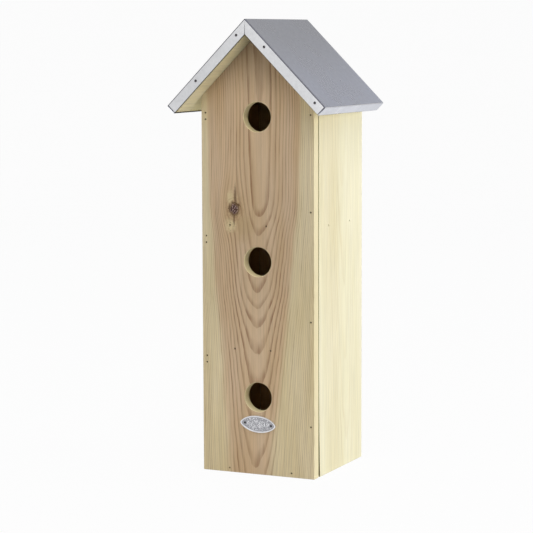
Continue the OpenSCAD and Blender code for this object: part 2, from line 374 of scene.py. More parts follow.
class GrowthRings(Effect):
    """Year rings round a pith: pale early wood darkens to a thin late line and then breaks off."""

    title = "Growth Rings"
    inputs = {"Place": VECTOR, "Pith Across": NUMBER, "Pith Through": NUMBER,
              "Density": NUMBER, "Waver": NUMBER, "Seed": NUMBER}
    outputs = ("Late",)
    narrowing = 1.75
    slow_sway = Pattern((26, 26, 12))
    quick_sway = Pattern((110, 110, 42))
    quick_share = 0.32
    vigour = (0.60, 0.40)
    late_rise = (0.45, 0.90)
    late_stop = (0.94, 1.0)
    breaks = Pattern((520, 520, 36), 3.0, 0.6)
    break_tone = (0.3, 0.7, 0.55, 1.15)
    patches = Pattern((75, 75, 11))
    patch_tone = (0.36, 0.62, 0.58, 1.12)

    def wire(self, bench: Bench, given: dict[str, Socket]) -> dict[str, Socket]:
        """Lays the nodes of the rings.

        Args:
            bench: Bench on the group's tree.
            given: The group's inputs by name.

        Returns:
            The share of late wood.
        """
        moved = bench.shifted(given["Place"], given["Seed"])
        slow = bench.math("SUBTRACT", bench.noise(moved, self.slow_sway), 0.5)
        quick = bench.math("SUBTRACT", bench.noise(moved, self.quick_sway), 0.5)
        sway = bench.math("ADD", slow, bench.math("MULTIPLY", quick, self.quick_share))
        x, y, _ = bench.split(given["Place"])
        across = bench.math("SUBTRACT", x, given["Pith Across"])
        through = bench.math("SUBTRACT", y, given["Pith Through"])
        radius = bench.math("MULTIPLY_ADD", sway, given["Waver"], bench.hypotenuse(across, through))
        in_mm = bench.math("MAXIMUM", bench.math("MULTIPLY", radius, 1 / MM), 0.0)
        age = bench.math("MULTIPLY", bench.math("POWER", in_mm, self.narrowing), given["Density"])
        season = bench.math("FRACT", age)
        number = bench.math("ADD", bench.math("FLOOR", age), given["Seed"])
        year = bench.made("ShaderNodeTexWhiteNoise", {"W": number}, "Value", noise_dimensions="1D")
        vigour = bench.math("MULTIPLY_ADD", year, *self.vigour)
        rise = bench.fade(season, *self.late_rise)
        stop = bench.fade(season, *self.late_stop, 1.0, 0.0)
        worn = bench.fade(bench.noise(moved, self.patches), *self.patch_tone)
        broken = bench.fade(bench.noise(moved, self.breaks), *self.break_tone)
        return {"Late": bench.product(rise, stop, vigour, worn, broken)}


class WoodFibre(Effect):
    """Long fibres of softwood: fine streaks, broad tone and short resin ducts."""

    title = "Wood Fibre"
    inputs = {"Place": VECTOR, "Seed": NUMBER}
    outputs = ("Streak", "Tone", "Duct")
    streaks = Pattern((760, 760, 14), 4.0, 0.62)
    tones = Pattern((42, 42, 6), 3.0, 0.55)
    ducts = Pattern((1500, 1500, 120), 1.0)
    duct_edge = (0.70, 0.78)

    def wire(self, bench: Bench, given: dict[str, Socket]) -> dict[str, Socket]:
        """Lays the nodes of the fibres.

        Args:
            bench: Bench on the group's tree.
            given: The group's inputs by name.

        Returns:
            Streaks and tone about 0.5, and the mask of the ducts.
        """
        moved = bench.shifted(given["Place"], given["Seed"])
        streak = bench.noise(moved, self.streaks)
        duct = bench.fade(bench.noise(moved, self.ducts), *self.duct_edge)
        return {"Streak": streak, "Tone": bench.noise(moved, self.tones), "Duct": duct}


class RaggedSpot(Effect):
    """A soft oval spot on a board's face with a ragged outline."""

    title = "Ragged Spot"
    inputs = {"Place": VECTOR, "Centre": VECTOR, "Stretch": VECTOR, "Ragged": NUMBER, "Softness": NUMBER}
    outputs = ("Mask", "Distance")
    rags = Pattern((420, 420, 300), 3.0, 0.6)

    def wire(self, bench: Bench, given: dict[str, Socket]) -> dict[str, Socket]:
        """Lays the nodes of the spot.

        Args:
            bench: Bench on the group's tree.
            given: The group's inputs by name. Stretch is one over the spot's reach each way.

        Returns:
            The spot's mask, and the distance from its centre, where 1 is its edge.
        """
        offset = bench.vector("SUBTRACT", given["Place"], given["Centre"])
        x, _, z = bench.split(bench.vector("MULTIPLY", offset, given["Stretch"]))
        rough = bench.math("SUBTRACT", bench.noise(given["Place"], self.rags), 0.5)
        away = bench.math("MULTIPLY_ADD", rough, given["Ragged"], bench.hypotenuse(x, z))
        inner = bench.math("SUBTRACT", 1.0, given["Softness"])
        outer = bench.math("ADD", 1.0, given["Softness"])
        return {"Mask": bench.fade(away, inner, outer, 1.0, 0.0), "Distance": away}


class CornerShade(Effect):
    """Painted shade: a darker colour in corners, read from ambient occlusion, and high under the ridge and
    eaves.
    """

    title = "Painted Corner Shade"
    inputs = {"Reach": NUMBER, "Tone": NUMBER, "Clean Height": NUMBER, "Full Height": NUMBER,
              "Ridge Tone": NUMBER}
    outputs = ("Brightness",)
    under_ridge = (0.415, 0.480)
    open_share = (0.35, 0.95)
    rays = 8

    def wire(self, bench: Bench, given: dict[str, Socket]) -> dict[str, Socket]:
        """Lays the nodes of the dust.

        Args:
            bench: Bench on the group's tree.
            given: The group's inputs by name. Tone is what is left of the colour in a closed corner over the
                full height, and Ridge Tone what is left of it right under the ridge, both as painted shade.

        Returns:
            What the colour is multiplied by.
        """
        # Painted shade: ambient occlusion darkens corners, and height darkens the wood under the ridge
        free = bench.made("ShaderNodeAmbientOcclusion", {"Distance": given["Reach"]}, "AO", samples=self.rays)
        closed = bench.fade(free, *self.open_share, 1.0, 0.0)
        _, _, height = bench.split(bench.lay("ShaderNodeTexCoord").outputs["Object"])
        risen = bench.fade(height, given["Clean Height"], given["Full Height"])
        lost = bench.product(closed, risen, bench.math("SUBTRACT", 1.0, given["Tone"]))
        high = bench.fade(height, *self.under_ridge)
        shaded = bench.math("MULTIPLY", high, bench.math("SUBTRACT", 1.0, given["Ridge Tone"]))
        left = [bench.math("SUBTRACT", 1.0, share) for share in (lost, shaded)]
        return {"Brightness": bench.product(*left)}


class MetalBloom(Effect):
    """The dull bloom of bare metal: slow clouds, fine specks and shallow dents."""

    title = "Metal Bloom"
    inputs = {"Place": VECTOR, "Cloud Size": NUMBER, "Speck Size": NUMBER}
    outputs = ("Cloud", "Speck", "Dent")
    clouds = Pattern((1, 1, 1), 4.0, 0.6)
    specks = Pattern((1, 1, 1), 2.0, 0.7)
    dents = Pattern((1, 1, 1), 1.0)
    dent_spread = 1.7

    def wire(self, bench: Bench, given: dict[str, Socket]) -> dict[str, Socket]:
        """Lays the nodes of the bloom.

        Args:
            bench: Bench on the group's tree.
            given: The group's inputs by name.

        Returns:
            Three patterns about 0.5.
        """
        cloud, speck = given["Cloud Size"], given["Speck Size"]
        dent = bench.math("MULTIPLY", cloud, self.dent_spread)
        sized = {"Cloud": (cloud, self.clouds), "Speck": (speck, self.specks), "Dent": (dent, self.dents)}
        made = {}
        for name, (size, pattern) in sized.items():
            part = bench.math("DIVIDE", 1.0, size)
            place = bench.vector("MULTIPLY", given["Place"], bench.join(part, part, part))
            made[name] = bench.noise(place, pattern)
        return made


RINGS = GrowthRings()
FIBRE = WoodFibre()
SPOT = RaggedSpot()
CORNER_SHADE = CornerShade()
BLOOM = MetalBloom()


def start_material(
    name: str, fixed: dict[str, object],
) -> tuple[bpy.types.Material, Bench, bpy.types.Node]:
    """Starts a material with one main shader.

    Args:
        name: Name of the material.
        fixed: Values of the shader that are the same all over.

    Returns:
        The material, a bench on its tree, and its shader.
    """
    material = bpy.data.materials.new(name)
    material.use_nodes = True
    tree = material.node_tree
    tree.nodes.clear()
    bench = Bench(tree)
    shader = bench.lay("ShaderNodeBsdfPrincipled")
    for socket, value in fixed.items():
        shader.inputs[socket].default_value = value
    bench.feed(bench.lay("ShaderNodeOutputMaterial").inputs["Surface"], shader.outputs[0])
    return material, bench, shader


@dataclass(frozen=True)
class ShadeLayer:
    """One layer of painted shade on a board, which grows from an unshaded height to a full one."""

    reach: float
    tone: float
    rise: Pair = (0.02, 0.07)
    ridge_tone: float = 1.0

    def brightness(self, bench: Bench) -> Socket:
        """Works out the painted shade: what the board's colour is multiplied by.

        Args:
            bench: Bench on the material's tree.

        Returns:
            The factor.
        """
        unshaded, full = self.rise
        return CORNER_SHADE.place(bench, Reach=self.reach, Tone=self.tone, Clean_Height=unshaded, Full_Height=full,
                          Ridge_Tone=self.ridge_tone)["Brightness"]


class Grain(Enum):
    """How a board lies in the frame: the directions of its width, its thickness and its grain."""

    FRONT = ((1, 0, 0), (0, 1, 0), (0, 0, 1))
    SIDE = ((0, 1, 0), (-1, 0, 0), (0, 0, 1))
    FLOOR = ((0, 1, 0), (0, 0, 1), (1, 0, 0))
    LEFT_ROOF = ((SLOPE, 0, SLOPE), (SLOPE, 0, -SLOPE), (0, 1, 0))
    RIGHT_ROOF = ((SLOPE, 0, -SLOPE), (-SLOPE, 0, -SLOPE), (0, 1, 0))

    @property
    def turn(self) -> Matrix:
        """Rows of the three directions."""
        return Matrix(self.value)

    @property
    def wide(self) -> Vector:
        """Direction of the width."""
        return Vector(self.value[0])

    @property
    def along(self) -> Vector:
        """Direction of the grain."""
        return Vector(self.value[2])


@dataclass(frozen=True, kw_only=True)
class WoodFinish:
    """Planed, untreated softwood with its year rings.

    The pith is given across and through the board, in the directions of its grain. A spread says between
    which values of a pattern a tone passes from its first number to its second.
    """

    name: str
    grain: Grain
    pith: Pair
    heart_radius: float
    contrast: float
    seed: float
    # The pale default colours are partly paler sapwood and partly painted light: the side boards carry some of
    # their lit brightness in their colour
    sapwood: Colour = shade(236, 230, 198)
    heartwood: Colour = shade(232, 223, 188)
    latewood: Colour = shade(212, 196, 152)
    density: float = 0.0131
    waver: float = 0.0030
    lean: float = 0.0
    taper: float = 0.0
    heart_softness: float = 0.003
    heart_shift: float = 0.0
    heart_ragged: float = 0.008
    sap_contrast: float = 0.55
    spread: Pair = (0.25, 0.75)
    broad_tone: float = 0.05
    broad_strength: Pair = (1.08, 0.92)
    streak_tone: Pair = (0.90, 1.09)
    duct_share: float = 0.22
    end_tone: float = 0.85
    end_strength: float = 1.15
    # Edge faces are paler; on the front board the edge_shade mix is partly painted light, matching its right
    # edge strip to the lit sides
    edge_tone: float = 1.08
    edge_strength: float = 0.91
    edge_shade: Colour = shade(234, 224, 181)
    edge_share: float = 0.0
    # Layers of painted shade in corners and under the ridge
    painted_shade: tuple[ShadeLayer, ...] = ()
    inner_tone: float = 0.95
    inner_strength: float = 1.1
    inner_shade: Colour = shade(220, 167, 112)
    inner_share: float = 0.5
    fresh_cut: Colour = shade(238, 222, 176)
    # Painted shade on faces in an open joint
    joint_tone: float = 0.30
    joint_strength: float = 2.0
    gloss: float = 0.25
    gloss_spread: Pair = (0.2, 0.8)
    roughness: Pair = (0.62, 0.80)
    late_relief: float = 0.5
    relief_share: float = 0.30
    relief: float = 0.25 * MM

    def bend(self, bench: Bench, place: Socket) -> Socket:
        """Lets the grain run straight, as in clear wood."""
        return place

    def pith_line(self, bench: Bench, place: Socket) -> tuple[Socket, Socket]:
        """Works out where the pith passes each height.

        Args:
            bench: Bench on the material's tree.
            place: Place on the board.

        Returns:
            The pith's place across and through the board.
        """
        _, _, z = bench.split(place)
        across = bench.math("MULTIPLY_ADD", z, self.lean, self.pith[0])
        return across, bench.math("MULTIPLY_ADD", z, self.taper, self.pith[1])

    def heart_distance(self, bench: Bench, place: Socket, pith: tuple[Socket, Socket]) -> Socket:
        """Works out the distance from the heart's own middle, which may lie beside the pith.

        Args:
            bench: Bench on the material's tree.
            place: Place on the board.
            pith: The pith's place across and through the board.

        Returns:
            Distance from the heart's middle.
        """
        x, y, _ = bench.split(place)
        across = bench.math("ADD", bench.math("SUBTRACT", x, pith[0]), self.heart_shift)
        through = bench.math("SUBTRACT", y, pith[1])
        return bench.hypotenuse(across, through)

    def marks(self, bench: Bench, place: Socket, colour: Socket) -> Socket:
        """Leaves the colour as it is, for a board without knots."""
        return colour

    def grained(self, bench: Bench, away: Socket, late: Socket, fibre: dict[str, Socket]) -> Socket:
        """Colours the sapwood, the heartwood, the year rings and the fibres.

        Args:
            bench: Bench on the material's tree.
            away: Distance from the heart's middle.
            late: Share of late wood.
            fibre: Patterns of the fibres by name.

        Returns:
            The colour of clear wood.
        """
        ragged = bench.math("SUBTRACT", fibre["Tone"], 0.5)
        border = bench.math("MULTIPLY_ADD", ragged, self.heart_ragged, away)
        heart = bench.fade(border, self.heart_radius - self.heart_softness,
                           self.heart_radius + self.heart_softness, 1.0, 0.0)
        ground = bench.mix(heart, self.sapwood, self.heartwood)
        strong = bench.fade(heart, 0.0, 1.0, self.sap_contrast, 1.0)
        lined = bench.mix(bench.product(late, strong, self.contrast), ground, self.latewood)
        tone = bench.fade(fibre["Tone"], *self.spread, 1 - self.broad_tone, 1 + self.broad_tone)
        toned = bench.tint(lined, tone, bench.fade(fibre["Tone"], *self.spread, *self.broad_strength))
        streaked = bench.tint(toned, bench.fade(fibre["Streak"], *self.spread, *self.streak_tone))
        return bench.mix(bench.math("MULTIPLY", fibre["Duct"], self.duct_share), streaked, self.latewood)

    def worked(self, bench: Bench, colour: Socket) -> Socket:
        """Gives end grain, edges, insides and bored holes their own tones, and paints shade into corners and
        joints.

        Args:
            bench: Bench on the material's tree.
            colour: Colour of the face.

        Returns:
            The colour of the whole board.
        """
        ended = bench.tint(colour, self.end_tone, self.end_strength)
        ended = bench.mix(bench.attribute("end_grain"), colour, ended)
        edged = bench.tint(ended, self.edge_tone, self.edge_strength)
        edged = bench.mix(self.edge_share, edged, self.edge_shade)
        outside = bench.mix(bench.attribute("edge_grain"), ended, edged)
        # Painted shade in corners and under the ridge
        for layer in self.painted_shade:
            outside = bench.tint(outside, layer.brightness(bench))
        # Inner faces take their own warmer tone; where inner_tone is low, as on the roof boards, it paints
        # shade into the gaps under the sheet
        inside_and_gap_shade = bench.mix(self.inner_share, ended, self.inner_shade)
        inside_and_gap_shade = bench.tint(inside_and_gap_shade, self.inner_tone, self.inner_strength)
        sawn = bench.mix(bench.attribute("inner_face"), outside, inside_and_gap_shade)
        bored = bench.mix(bench.attribute("bore"), sawn, self.fresh_cut)
        # Painted shade on the face in the open joint
        shut = bench.tint(bored, self.joint_tone, self.joint_strength)
        return bench.mix(bench.attribute("joint"), bored, shut)

    def material(self) -> bpy.types.Material:
        """Builds the finish.

        Returns:
            The material.
        """
        material, bench, shader = start_material(self.name, {"Specular IOR Level": self.gloss})
        place = bench.object_place(self.grain.turn)
        pith = self.pith_line(bench, place)
        bent = self.bend(bench, place)
        late = RINGS.place(bench, Place=bent, Pith_Across=pith[0], Pith_Through=pith[1],
                           Density=self.density, Waver=self.waver, Seed=self.seed)["Late"]
        fibre = FIBRE.place(bench, Place=bent, Seed=self.seed)
        clear = self.grained(bench, self.heart_distance(bench, place, pith), late, fibre)
        colour = self.worked(bench, self.marks(bench, place, clear))
        rough = bench.fade(fibre["Streak"], *self.gloss_spread, *self.roughness)
        height = bench.math("MULTIPLY_ADD", late, self.late_relief, fibre["Streak"])
        bench.feed(shader.inputs["Base Color"], colour)
        bench.feed(shader.inputs["Roughness"], rough)
        bench.feed(shader.inputs["Normal"], bench.bump(height, self.relief_share, self.relief))
        return material


@dataclass(frozen=True)
class Spot:
    """A ragged spot: its middle as seen from the knot, half its width and height, and its outline."""

    across: float
    up: float
    wide: float
    high: float
    ragged: float
    softness: float


@dataclass
class FacePaint:
    """The colour of the front board's face while its marks are laid on, with spots placed from one middle."""

    bench: Bench
    place: Socket
    colour: Socket
    middle: Pair

    def spot(self, spot: Spot) -> dict[str, Socket]:
        """Places a spot on the face.

        Args:
            spot: The spot.

        Returns:
            Its mask, and the distance from its middle.
        """
        centre = (self.middle[0] + spot.across, 0.0, self.middle[1] + spot.up)
        return SPOT.place(self.bench, Place=self.place, Centre=centre,
                          Stretch=(1 / spot.wide, 0.0, 1 / spot.high),
                          Ragged=spot.ragged, Softness=spot.softness)

    def either(self, first: Spot, second: Spot) -> Socket:
        """Joins the masks of two spots."""
        return self.bench.math("MAXIMUM", self.spot(first)["Mask"], self.spot(second)["Mask"])

    def lay(self, mask: Socket, share: float, colour: Feed) -> None:
        """Lays a share of a colour on the face where a mask says."""
        self.colour = self.bench.mix(self.bench.math("MULTIPLY", mask, share), self.colour, colour)


@dataclass(frozen=True, kw_only=True)
class FrontBoardFinish(WoodFinish):
    """The front board: a plain-sawn face with nested arches, a red heart and one dark knot."""

    face: float = 0.0
    figure_height: float = 0.500
    figure_depth: float = 0.064
    heart_spread: float = 0.0018
    heart_rise: Pair = (0.27, 0.36)
    top_turn: float = 0.0042
    top_turn_rise: Pair = (0.40, 0.50)
    swirl_reach: Pair = (0.0170, 0.0340)
    swirl: float = 0.78
    knot: Pair = (-0.0284, 0.298)
    knot_dark: Colour = shade(74, 50, 46)
    knot_grey: Colour = shade(188, 160, 150)
    knot_bark: Colour = shade(92, 66, 40)
    resin_pale: Colour = shade(228, 212, 164)
    olive: Colour = shade(176, 150, 104)
    knot_spot: Spot = Spot(0.0, 0.0, 0.0068, 0.0080, 0.9, 0.13)
    broad_stain: Spot = Spot(0.0404, -0.036, 0.100, 0.085, 0.1, 0.9)
    near_stain: Spot = Spot(0.0020, -0.0020, 0.0110, 0.0160, 1.2, 0.7)
    low_stain: Spot = Spot(0.0110, -0.0185, 0.0100, 0.0150, 1.2, 0.7)
    high_resin: Spot = Spot(-0.0050, 0.0125, 0.0034, 0.0070, 1.4, 0.6)
    low_resin: Spot = Spot(-0.0050, -0.0185, 0.0055, 0.0065, 2.0, 0.6)
    high_streak: Spot = Spot(0.0012, 0.0145, 0.0016, 0.0110, 1.1, 0.7)
    low_crack: Spot = Spot(-0.0002, -0.0115, 0.0010, 0.0065, 0.7, 0.6)
    stain_tone: float = 0.90
    olive_share: float = 0.45
    resin_share: float = 0.60
    speck_grain: Pattern = Pattern((700, 700, 480), 2.0, 0.6)
    speck_edge: Pair = (0.60, 0.66)
    speck_share: float = 0.65
    loop_count: float = 2.4
    loop_rise: Pair = (0.45, 0.80)
    loop_stop: Pair = (0.88, 1.0)
    loop_reach: Pair = (1.1, 2.2)
    loop_share: float = 0.65
    crack_share: float = 0.70
    knot_stain: float = 0.55
    bark_place: float = 0.92
    bark_width: Pair = (0.05, 0.22)
    bark_grain: Pattern = Pattern((330, 330, 300), 1.0)
    bark_edge: Pair = (0.40, 0.56)
    bark_share: float = 0.85
    fleck_grain: Pattern = Pattern((640, 640, 560), 2.0, 0.6)
    fleck_edge: Pair = (0.50, 0.64)
    core_reach: Pair = (0.55, 0.80)
    core_share: float = 0.92

    # Depth of the pith behind the face at rising heights, both in millimetres
    pith_depths = (
        (0, 58.6), (14, 57.9), (60, 55.4), (131, 51.4), (164, 49.1), (188, 46.7), (205, 44.4),
        (240, 41.4), (270, 39.0), (290, 36.1), (294, 35.5), (298, 35.0), (305, 34.3), (317, 33.8),
        (350, 33.5), (400, 33.2), (440, 33.0), (500, 32.3),
    )

    def pith_line(self, bench: Bench, place: Socket) -> tuple[Socket, Socket]:
        """Works out where the leaning and winding pith passes each height.

        Args:
            bench: Bench on the material's tree.
            place: Place on the board.

        Returns:
            The pith's place across and through the board.
        """
        _, _, z = bench.split(place)
        points = [(height * MM / self.figure_height, depth * MM / self.figure_depth)
                  for height, depth in self.pith_depths]
        depth = bench.curve(bench.math("DIVIDE", z, self.figure_height), points)
        leaning = bench.math("MULTIPLY_ADD", z, self.lean, self.pith[0])
        across = bench.math("SUBTRACT", leaning, bench.fade(z, *self.top_turn_rise, 0.0, self.top_turn))
        return across, bench.math("MULTIPLY_ADD", depth, self.figure_depth, self.face)

    def heart_distance(self, bench: Bench, place: Socket, pith: tuple[Socket, Socket]) -> Socket:
        """Lets the heart reach further to the left in the upper half.

        Args:
            bench: Bench on the material's tree.
            place: Place on the board.
            pith: The pith's place across and through the board.

        Returns:
            Distance from the heart's middle.
        """
        _, _, z = bench.split(place)
        spread = bench.fade(z, *self.heart_rise, 0.0, self.heart_spread)
        moved = (bench.math("SUBTRACT", pith[0], spread), pith[1])
        return bench.math("SUBTRACT", super().heart_distance(bench, place, moved), spread)

    def bend(self, bench: Bench, place: Socket) -> Socket:
        """Leads the grain round the knot.

        Args:
            bench: Bench on the material's tree.
            place: Place on the board.

        Returns:
            The place where the straight grain is read.
        """
        x, y, z = bench.split(place)
        across = bench.math("SUBTRACT", x, self.knot[0])
        u = bench.math("DIVIDE", across, self.swirl_reach[0])
        v = bench.math("DIVIDE", bench.math("SUBTRACT", z, self.knot[1]), self.swirl_reach[1])
        far = bench.math("ADD", bench.math("MULTIPLY", u, u), bench.math("MULTIPLY", v, v))
        near = bench.math("EXPONENT", bench.math("MULTIPLY", far, -1.0))
        return bench.join(bench.math("ADD", x, bench.product(near, across, -self.swirl)), y, z)

    def marks(self, bench: Bench, place: Socket, colour: Socket) -> Socket:
        """Adds the knot with its stains, its torn grain and its resin.

        Args:
            bench: Bench on the material's tree.
            place: Place on the board.
            colour: Colour of the wood so far.

        Returns:
            The colour with the marks.
        """
        paint = FacePaint(bench, place, colour, self.knot)
        knot = paint.spot(self.knot_spot)
        self.stain(paint)
        self.tear(paint)
        self.loop(paint, knot["Distance"])
        paint.lay(paint.either(self.high_streak, self.low_crack), self.crack_share, self.knot_bark)
        self.fill_knot(paint, knot)
        return paint.colour

    def stain(self, paint: FacePaint) -> None:
        """Darkens the middle of the board a little, and the wood beside and below the knot more.

        Args:
            paint: The face so far.
        """
        darker = paint.bench.tint(paint.colour, self.stain_tone)
        paint.lay(paint.spot(self.broad_stain)["Mask"], 1.0, darker)
        paint.lay(paint.either(self.near_stain, self.low_stain), self.olive_share, self.olive)

    def tear(self, paint: FacePaint) -> None:
        """Adds the pale resin above the knot, and the torn and specked patch below it.

        Args:
            paint: The face so far.
        """
        paint.lay(paint.either(self.high_resin, self.low_resin), self.resin_share, self.resin_pale)
        grit = paint.bench.noise(paint.place, self.speck_grain)
        torn = paint.bench.fade(grit, *self.speck_edge)
        specks = paint.bench.math("MULTIPLY", torn, paint.spot(self.low_resin)["Mask"])
        paint.lay(specks, self.speck_share, self.knot_dark)

    def loop(self, paint: FacePaint, distance: Socket) -> None:
        """Adds the grain lines that close round the knot.

        Args:
            paint: The face so far.
            distance: Distance from the knot's middle, where 1 is its edge.
        """
        bench = paint.bench
        turn = bench.math("FRACT", bench.math("MULTIPLY", distance, self.loop_count))
        rise = bench.fade(turn, *self.loop_rise)
        line = bench.math("MULTIPLY", rise, bench.fade(turn, *self.loop_stop, 1.0, 0.0))
        near = bench.fade(distance, *self.loop_reach, 1.0, 0.0)
        paint.lay(bench.math("MULTIPLY", line, near), self.loop_share, self.latewood)

    def fill_knot(self, paint: FacePaint, knot: dict[str, Socket]) -> None:
        """Adds the knot itself: a mottled core inside a broken ring of bark.

        Args:
            paint: The face so far.
            knot: Mask and distance of the knot.
        """
        bench = paint.bench
        paint.lay(knot["Mask"], self.knot_stain, self.knot_bark)
        off_ring = bench.math("ABSOLUTE", bench.math("SUBTRACT", knot["Distance"], self.bark_place))
        band = bench.fade(off_ring, *self.bark_width, 1.0, 0.0)
        patch = bench.fade(bench.noise(paint.place, self.bark_grain), *self.bark_edge)
        paint.lay(bench.math("MULTIPLY", band, patch), self.bark_share, self.knot_bark)
        mottle = bench.noise(paint.place, self.fleck_grain)
        flecked = bench.mix(bench.fade(mottle, *self.fleck_edge), self.knot_dark, self.knot_grey)
        paint.lay(bench.fade(knot["Distance"], *self.core_reach, 1.0, 0.0), self.core_share, flecked)


@dataclass(frozen=True, kw_only=True)
class RoofWoodFinish(WoodFinish):
    """The roof boards: slow rings, and painted shade that deepens towards the ridge."""

    sapwood: Colour = shade(248, 238, 197)
    heartwood: Colour = shade(242, 227, 186)
    latewood: Colour = shade(206, 182, 132)
    heart_radius: float = 0.030
    density: float = 0.0060
    contrast: float = 0.35
    # Painted shade: a low inner tone darkens the faces behind the sheet's folded edges
    inner_tone: float = 0.15
    # Painted shade in corners, deepening towards the ridge
    painted_shade: tuple[ShadeLayer, ...] = (ShadeLayer(0.012, 0.84), ShadeLayer(0.034, 0.45, (0.425, 0.490)))


@dataclass(frozen=True, kw_only=True)
class MetalFinish:
    """Bare metal with a dull bloom, darker along its folds."""

    name: str
    colour: Colour
    bloom: Colour
    roughness: Pair
    metallic: float = 1.0
    cloud_size: float = 0.002
    speck_size: float = 0.0006
    bloom_share: float = 0.8
    dent: float = 0.05 * MM
    dent_share: float = 0.5
    cloud_spread: Pair = (0.3, 0.7)
    speck_spread: Pair = (0.2, 0.8)
    speck_tone: Pair = (0.94, 1.05)
    fold: Colour | None = None

    def painted_reflection(self, bench: Bench, place: Socket, colour: Socket) -> Socket:
        """Leaves the colour as it is, with no painted reflection."""
        return colour

    def material(self) -> bpy.types.Material:
        """Builds the finish.

        Returns:
            The material.
        """
        material, bench, shader = start_material(self.name, {"Metallic": self.metallic})
        place = bench.object_place()
        bloom = BLOOM.place(bench, Place=place, Cloud_Size=self.cloud_size, Speck_Size=self.speck_size)
        clouds = bench.fade(bloom["Cloud"], *self.cloud_spread)
        ground = bench.mix(bench.math("MULTIPLY", clouds, self.bloom_share), self.colour, self.bloom)
        specked = bench.tint(ground, bench.fade(bloom["Speck"], *self.speck_spread, *self.speck_tone))
        # Painted reflection, on finishes that have it
        colour = self.painted_reflection(bench, place, specked)
        if self.fold:
            colour = bench.mix(bench.attribute("fold"), colour, self.fold)
        bench.feed(shader.inputs["Base Color"], colour)
        rough = bench.fade(bloom["Cloud"], *self.cloud_spread, *self.roughness)
        bench.feed(shader.inputs["Roughness"], rough)
        bench.feed(shader.inputs["Normal"], bench.bump(bloom["Dent"], self.dent_share, self.dent))
        return material


@dataclass(frozen=True, kw_only=True)
class ZincFinish(MetalFinish):
    """Zinc with painted reflection: paler and bluer towards the eaves, and its own tones on the folded edges.
    """

    slope_rise: Pair = (0.415, 0.505)
    slope_tone: Pair = (1.16, 0.90)
    slope_strength: Pair = (1.9, 0.8)
    eave_tone: float = 0.93
    eave_strength: float = 1.6
    edge_reach: Pair = (-0.03, 0.03)
    edge_tone: Pair = (0.94, 1.06)
    edge_strength: float = 0.4

    def painted_reflection(self, bench: Bench, place: Socket, colour: Socket) -> Socket:
        """Paints reflection: gives the slopes, the eaves and the front and back edges their own tones.

        Args:
            bench: Bench on the material's tree.
            place: Place on the sheet.
            colour: Colour of the zinc so far.

        Returns:
            The toned colour.
        """
        # Painted reflection: brighter to the right on the folded edges, paler and bluer down the slopes,
        # darker on the eaves
        x, _, z = bench.split(place)
        edge = bench.tint(colour, bench.fade(x, *self.edge_reach, *self.edge_tone), self.edge_strength)
        slope = bench.tint(colour, bench.fade(z, *self.slope_rise, *self.slope_tone),
                           bench.fade(z, *self.slope_rise, *self.slope_strength))
        eave = bench.tint(colour, self.eave_tone, self.eave_strength)
        sloped = bench.mix(bench.attribute("slope"), edge, slope)
        return bench.mix(bench.attribute("eave"), sloped, eave)


FRONT_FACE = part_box("front_wall")[0].y

FRONT_WOOD = FrontBoardFinish(
    name="front_board_pine", grain=Grain.FRONT, face=FRONT_FACE,
    sapwood=shade(229, 212, 170), heartwood=shade(215, 187, 150), latewood=shade(164, 128, 96),
    pith=(-0.0037, 0.0), lean=0.0185, heart_radius=0.0633, heart_shift=0.0063, waver=0.0022, contrast=0.95,
    # The layer given here is painted shade, darker in corners and under the ridge
    seed=3.1, edge_share=0.6, painted_shade=(ShadeLayer(0.020, 0.80, ridge_tone=0.66),),
)
LEFT_WOOD = WoodFinish(
    name="left_board_pine", grain=Grain.SIDE, pith=(0.020, 0.020), lean=0.030, taper=0.026,
    heart_radius=0.060, contrast=0.40, seed=11.7,
)
RIGHT_WOOD = WoodFinish(
    name="right_board_pine", grain=Grain.SIDE, heartwood=shade(229, 220, 185), pith=(0.0405, -0.0235),
    lean=-0.045, taper=-0.028, heart_radius=0.0445, heart_shift=0.035, heart_softness=0.010, broad_tone=0.025,
    contrast=0.62, seed=5.3,
)
BACK_WOOD = WoodFinish(
    name="back_board_pine", grain=Grain.FRONT, pith=(0.012, 0.046), lean=-0.030, taper=0.024,
    heart_radius=0.050, contrast=0.50, seed=8.9, inner_tone=1.25,
)
FLOOR_WOOD = WoodFinish(
    name="floor_board_pine", grain=Grain.FLOOR, pith=(0.010, -0.040), taper=0.050, heart_radius=0.030,
    density=0.0110, contrast=0.45, seed=2.2,
)
LEFT_ROOF_WOOD = RoofWoodFinish(
    name="left_roof_pine", grain=Grain.LEFT_ROOF, pith=(0.320, 0.020), seed=6.6,
)
RIGHT_ROOF_WOOD = RoofWoodFinish(
    name="right_roof_pine", grain=Grain.RIGHT_ROOF, pith=(-0.300, 0.020), seed=9.4,
)
ZINC = ZincFinish(
    name="roof_zinc", colour=shade(225, 226, 231), bloom=shade(212, 214, 220), roughness=(0.25, 0.34),
    cloud_size=0.060, speck_size=0.0035, dent=0.5 * MM, fold=shade(94, 94, 102),
)
PLATE_METAL = MetalFinish(
    name="plate_aluminium", colour=shade(236, 236, 238), bloom=shade(214, 214, 217), roughness=(0.24, 0.36),
    cloud_size=0.006, speck_size=0.0010, bloom_share=0.7, dent=0.1 * MM, fold=shade(160, 160, 165),
)
PIN_STEEL = MetalFinish(
    name="pin_steel", colour=shade(72, 69, 67), bloom=shade(46, 43, 42), roughness=(0.35, 0.55),
)
BRAD_STEEL = MetalFinish(
    name="brad_steel", colour=shade(92, 80, 68), bloom=shade(58, 48, 40), roughness=(0.45, 0.65),
    metallic=0.9,
)
NAIL_STEEL = MetalFinish(
    name="roof_nail_steel", colour=shade(104, 100, 102), bloom=shade(60, 57, 58), roughness=(0.38, 0.55),
)


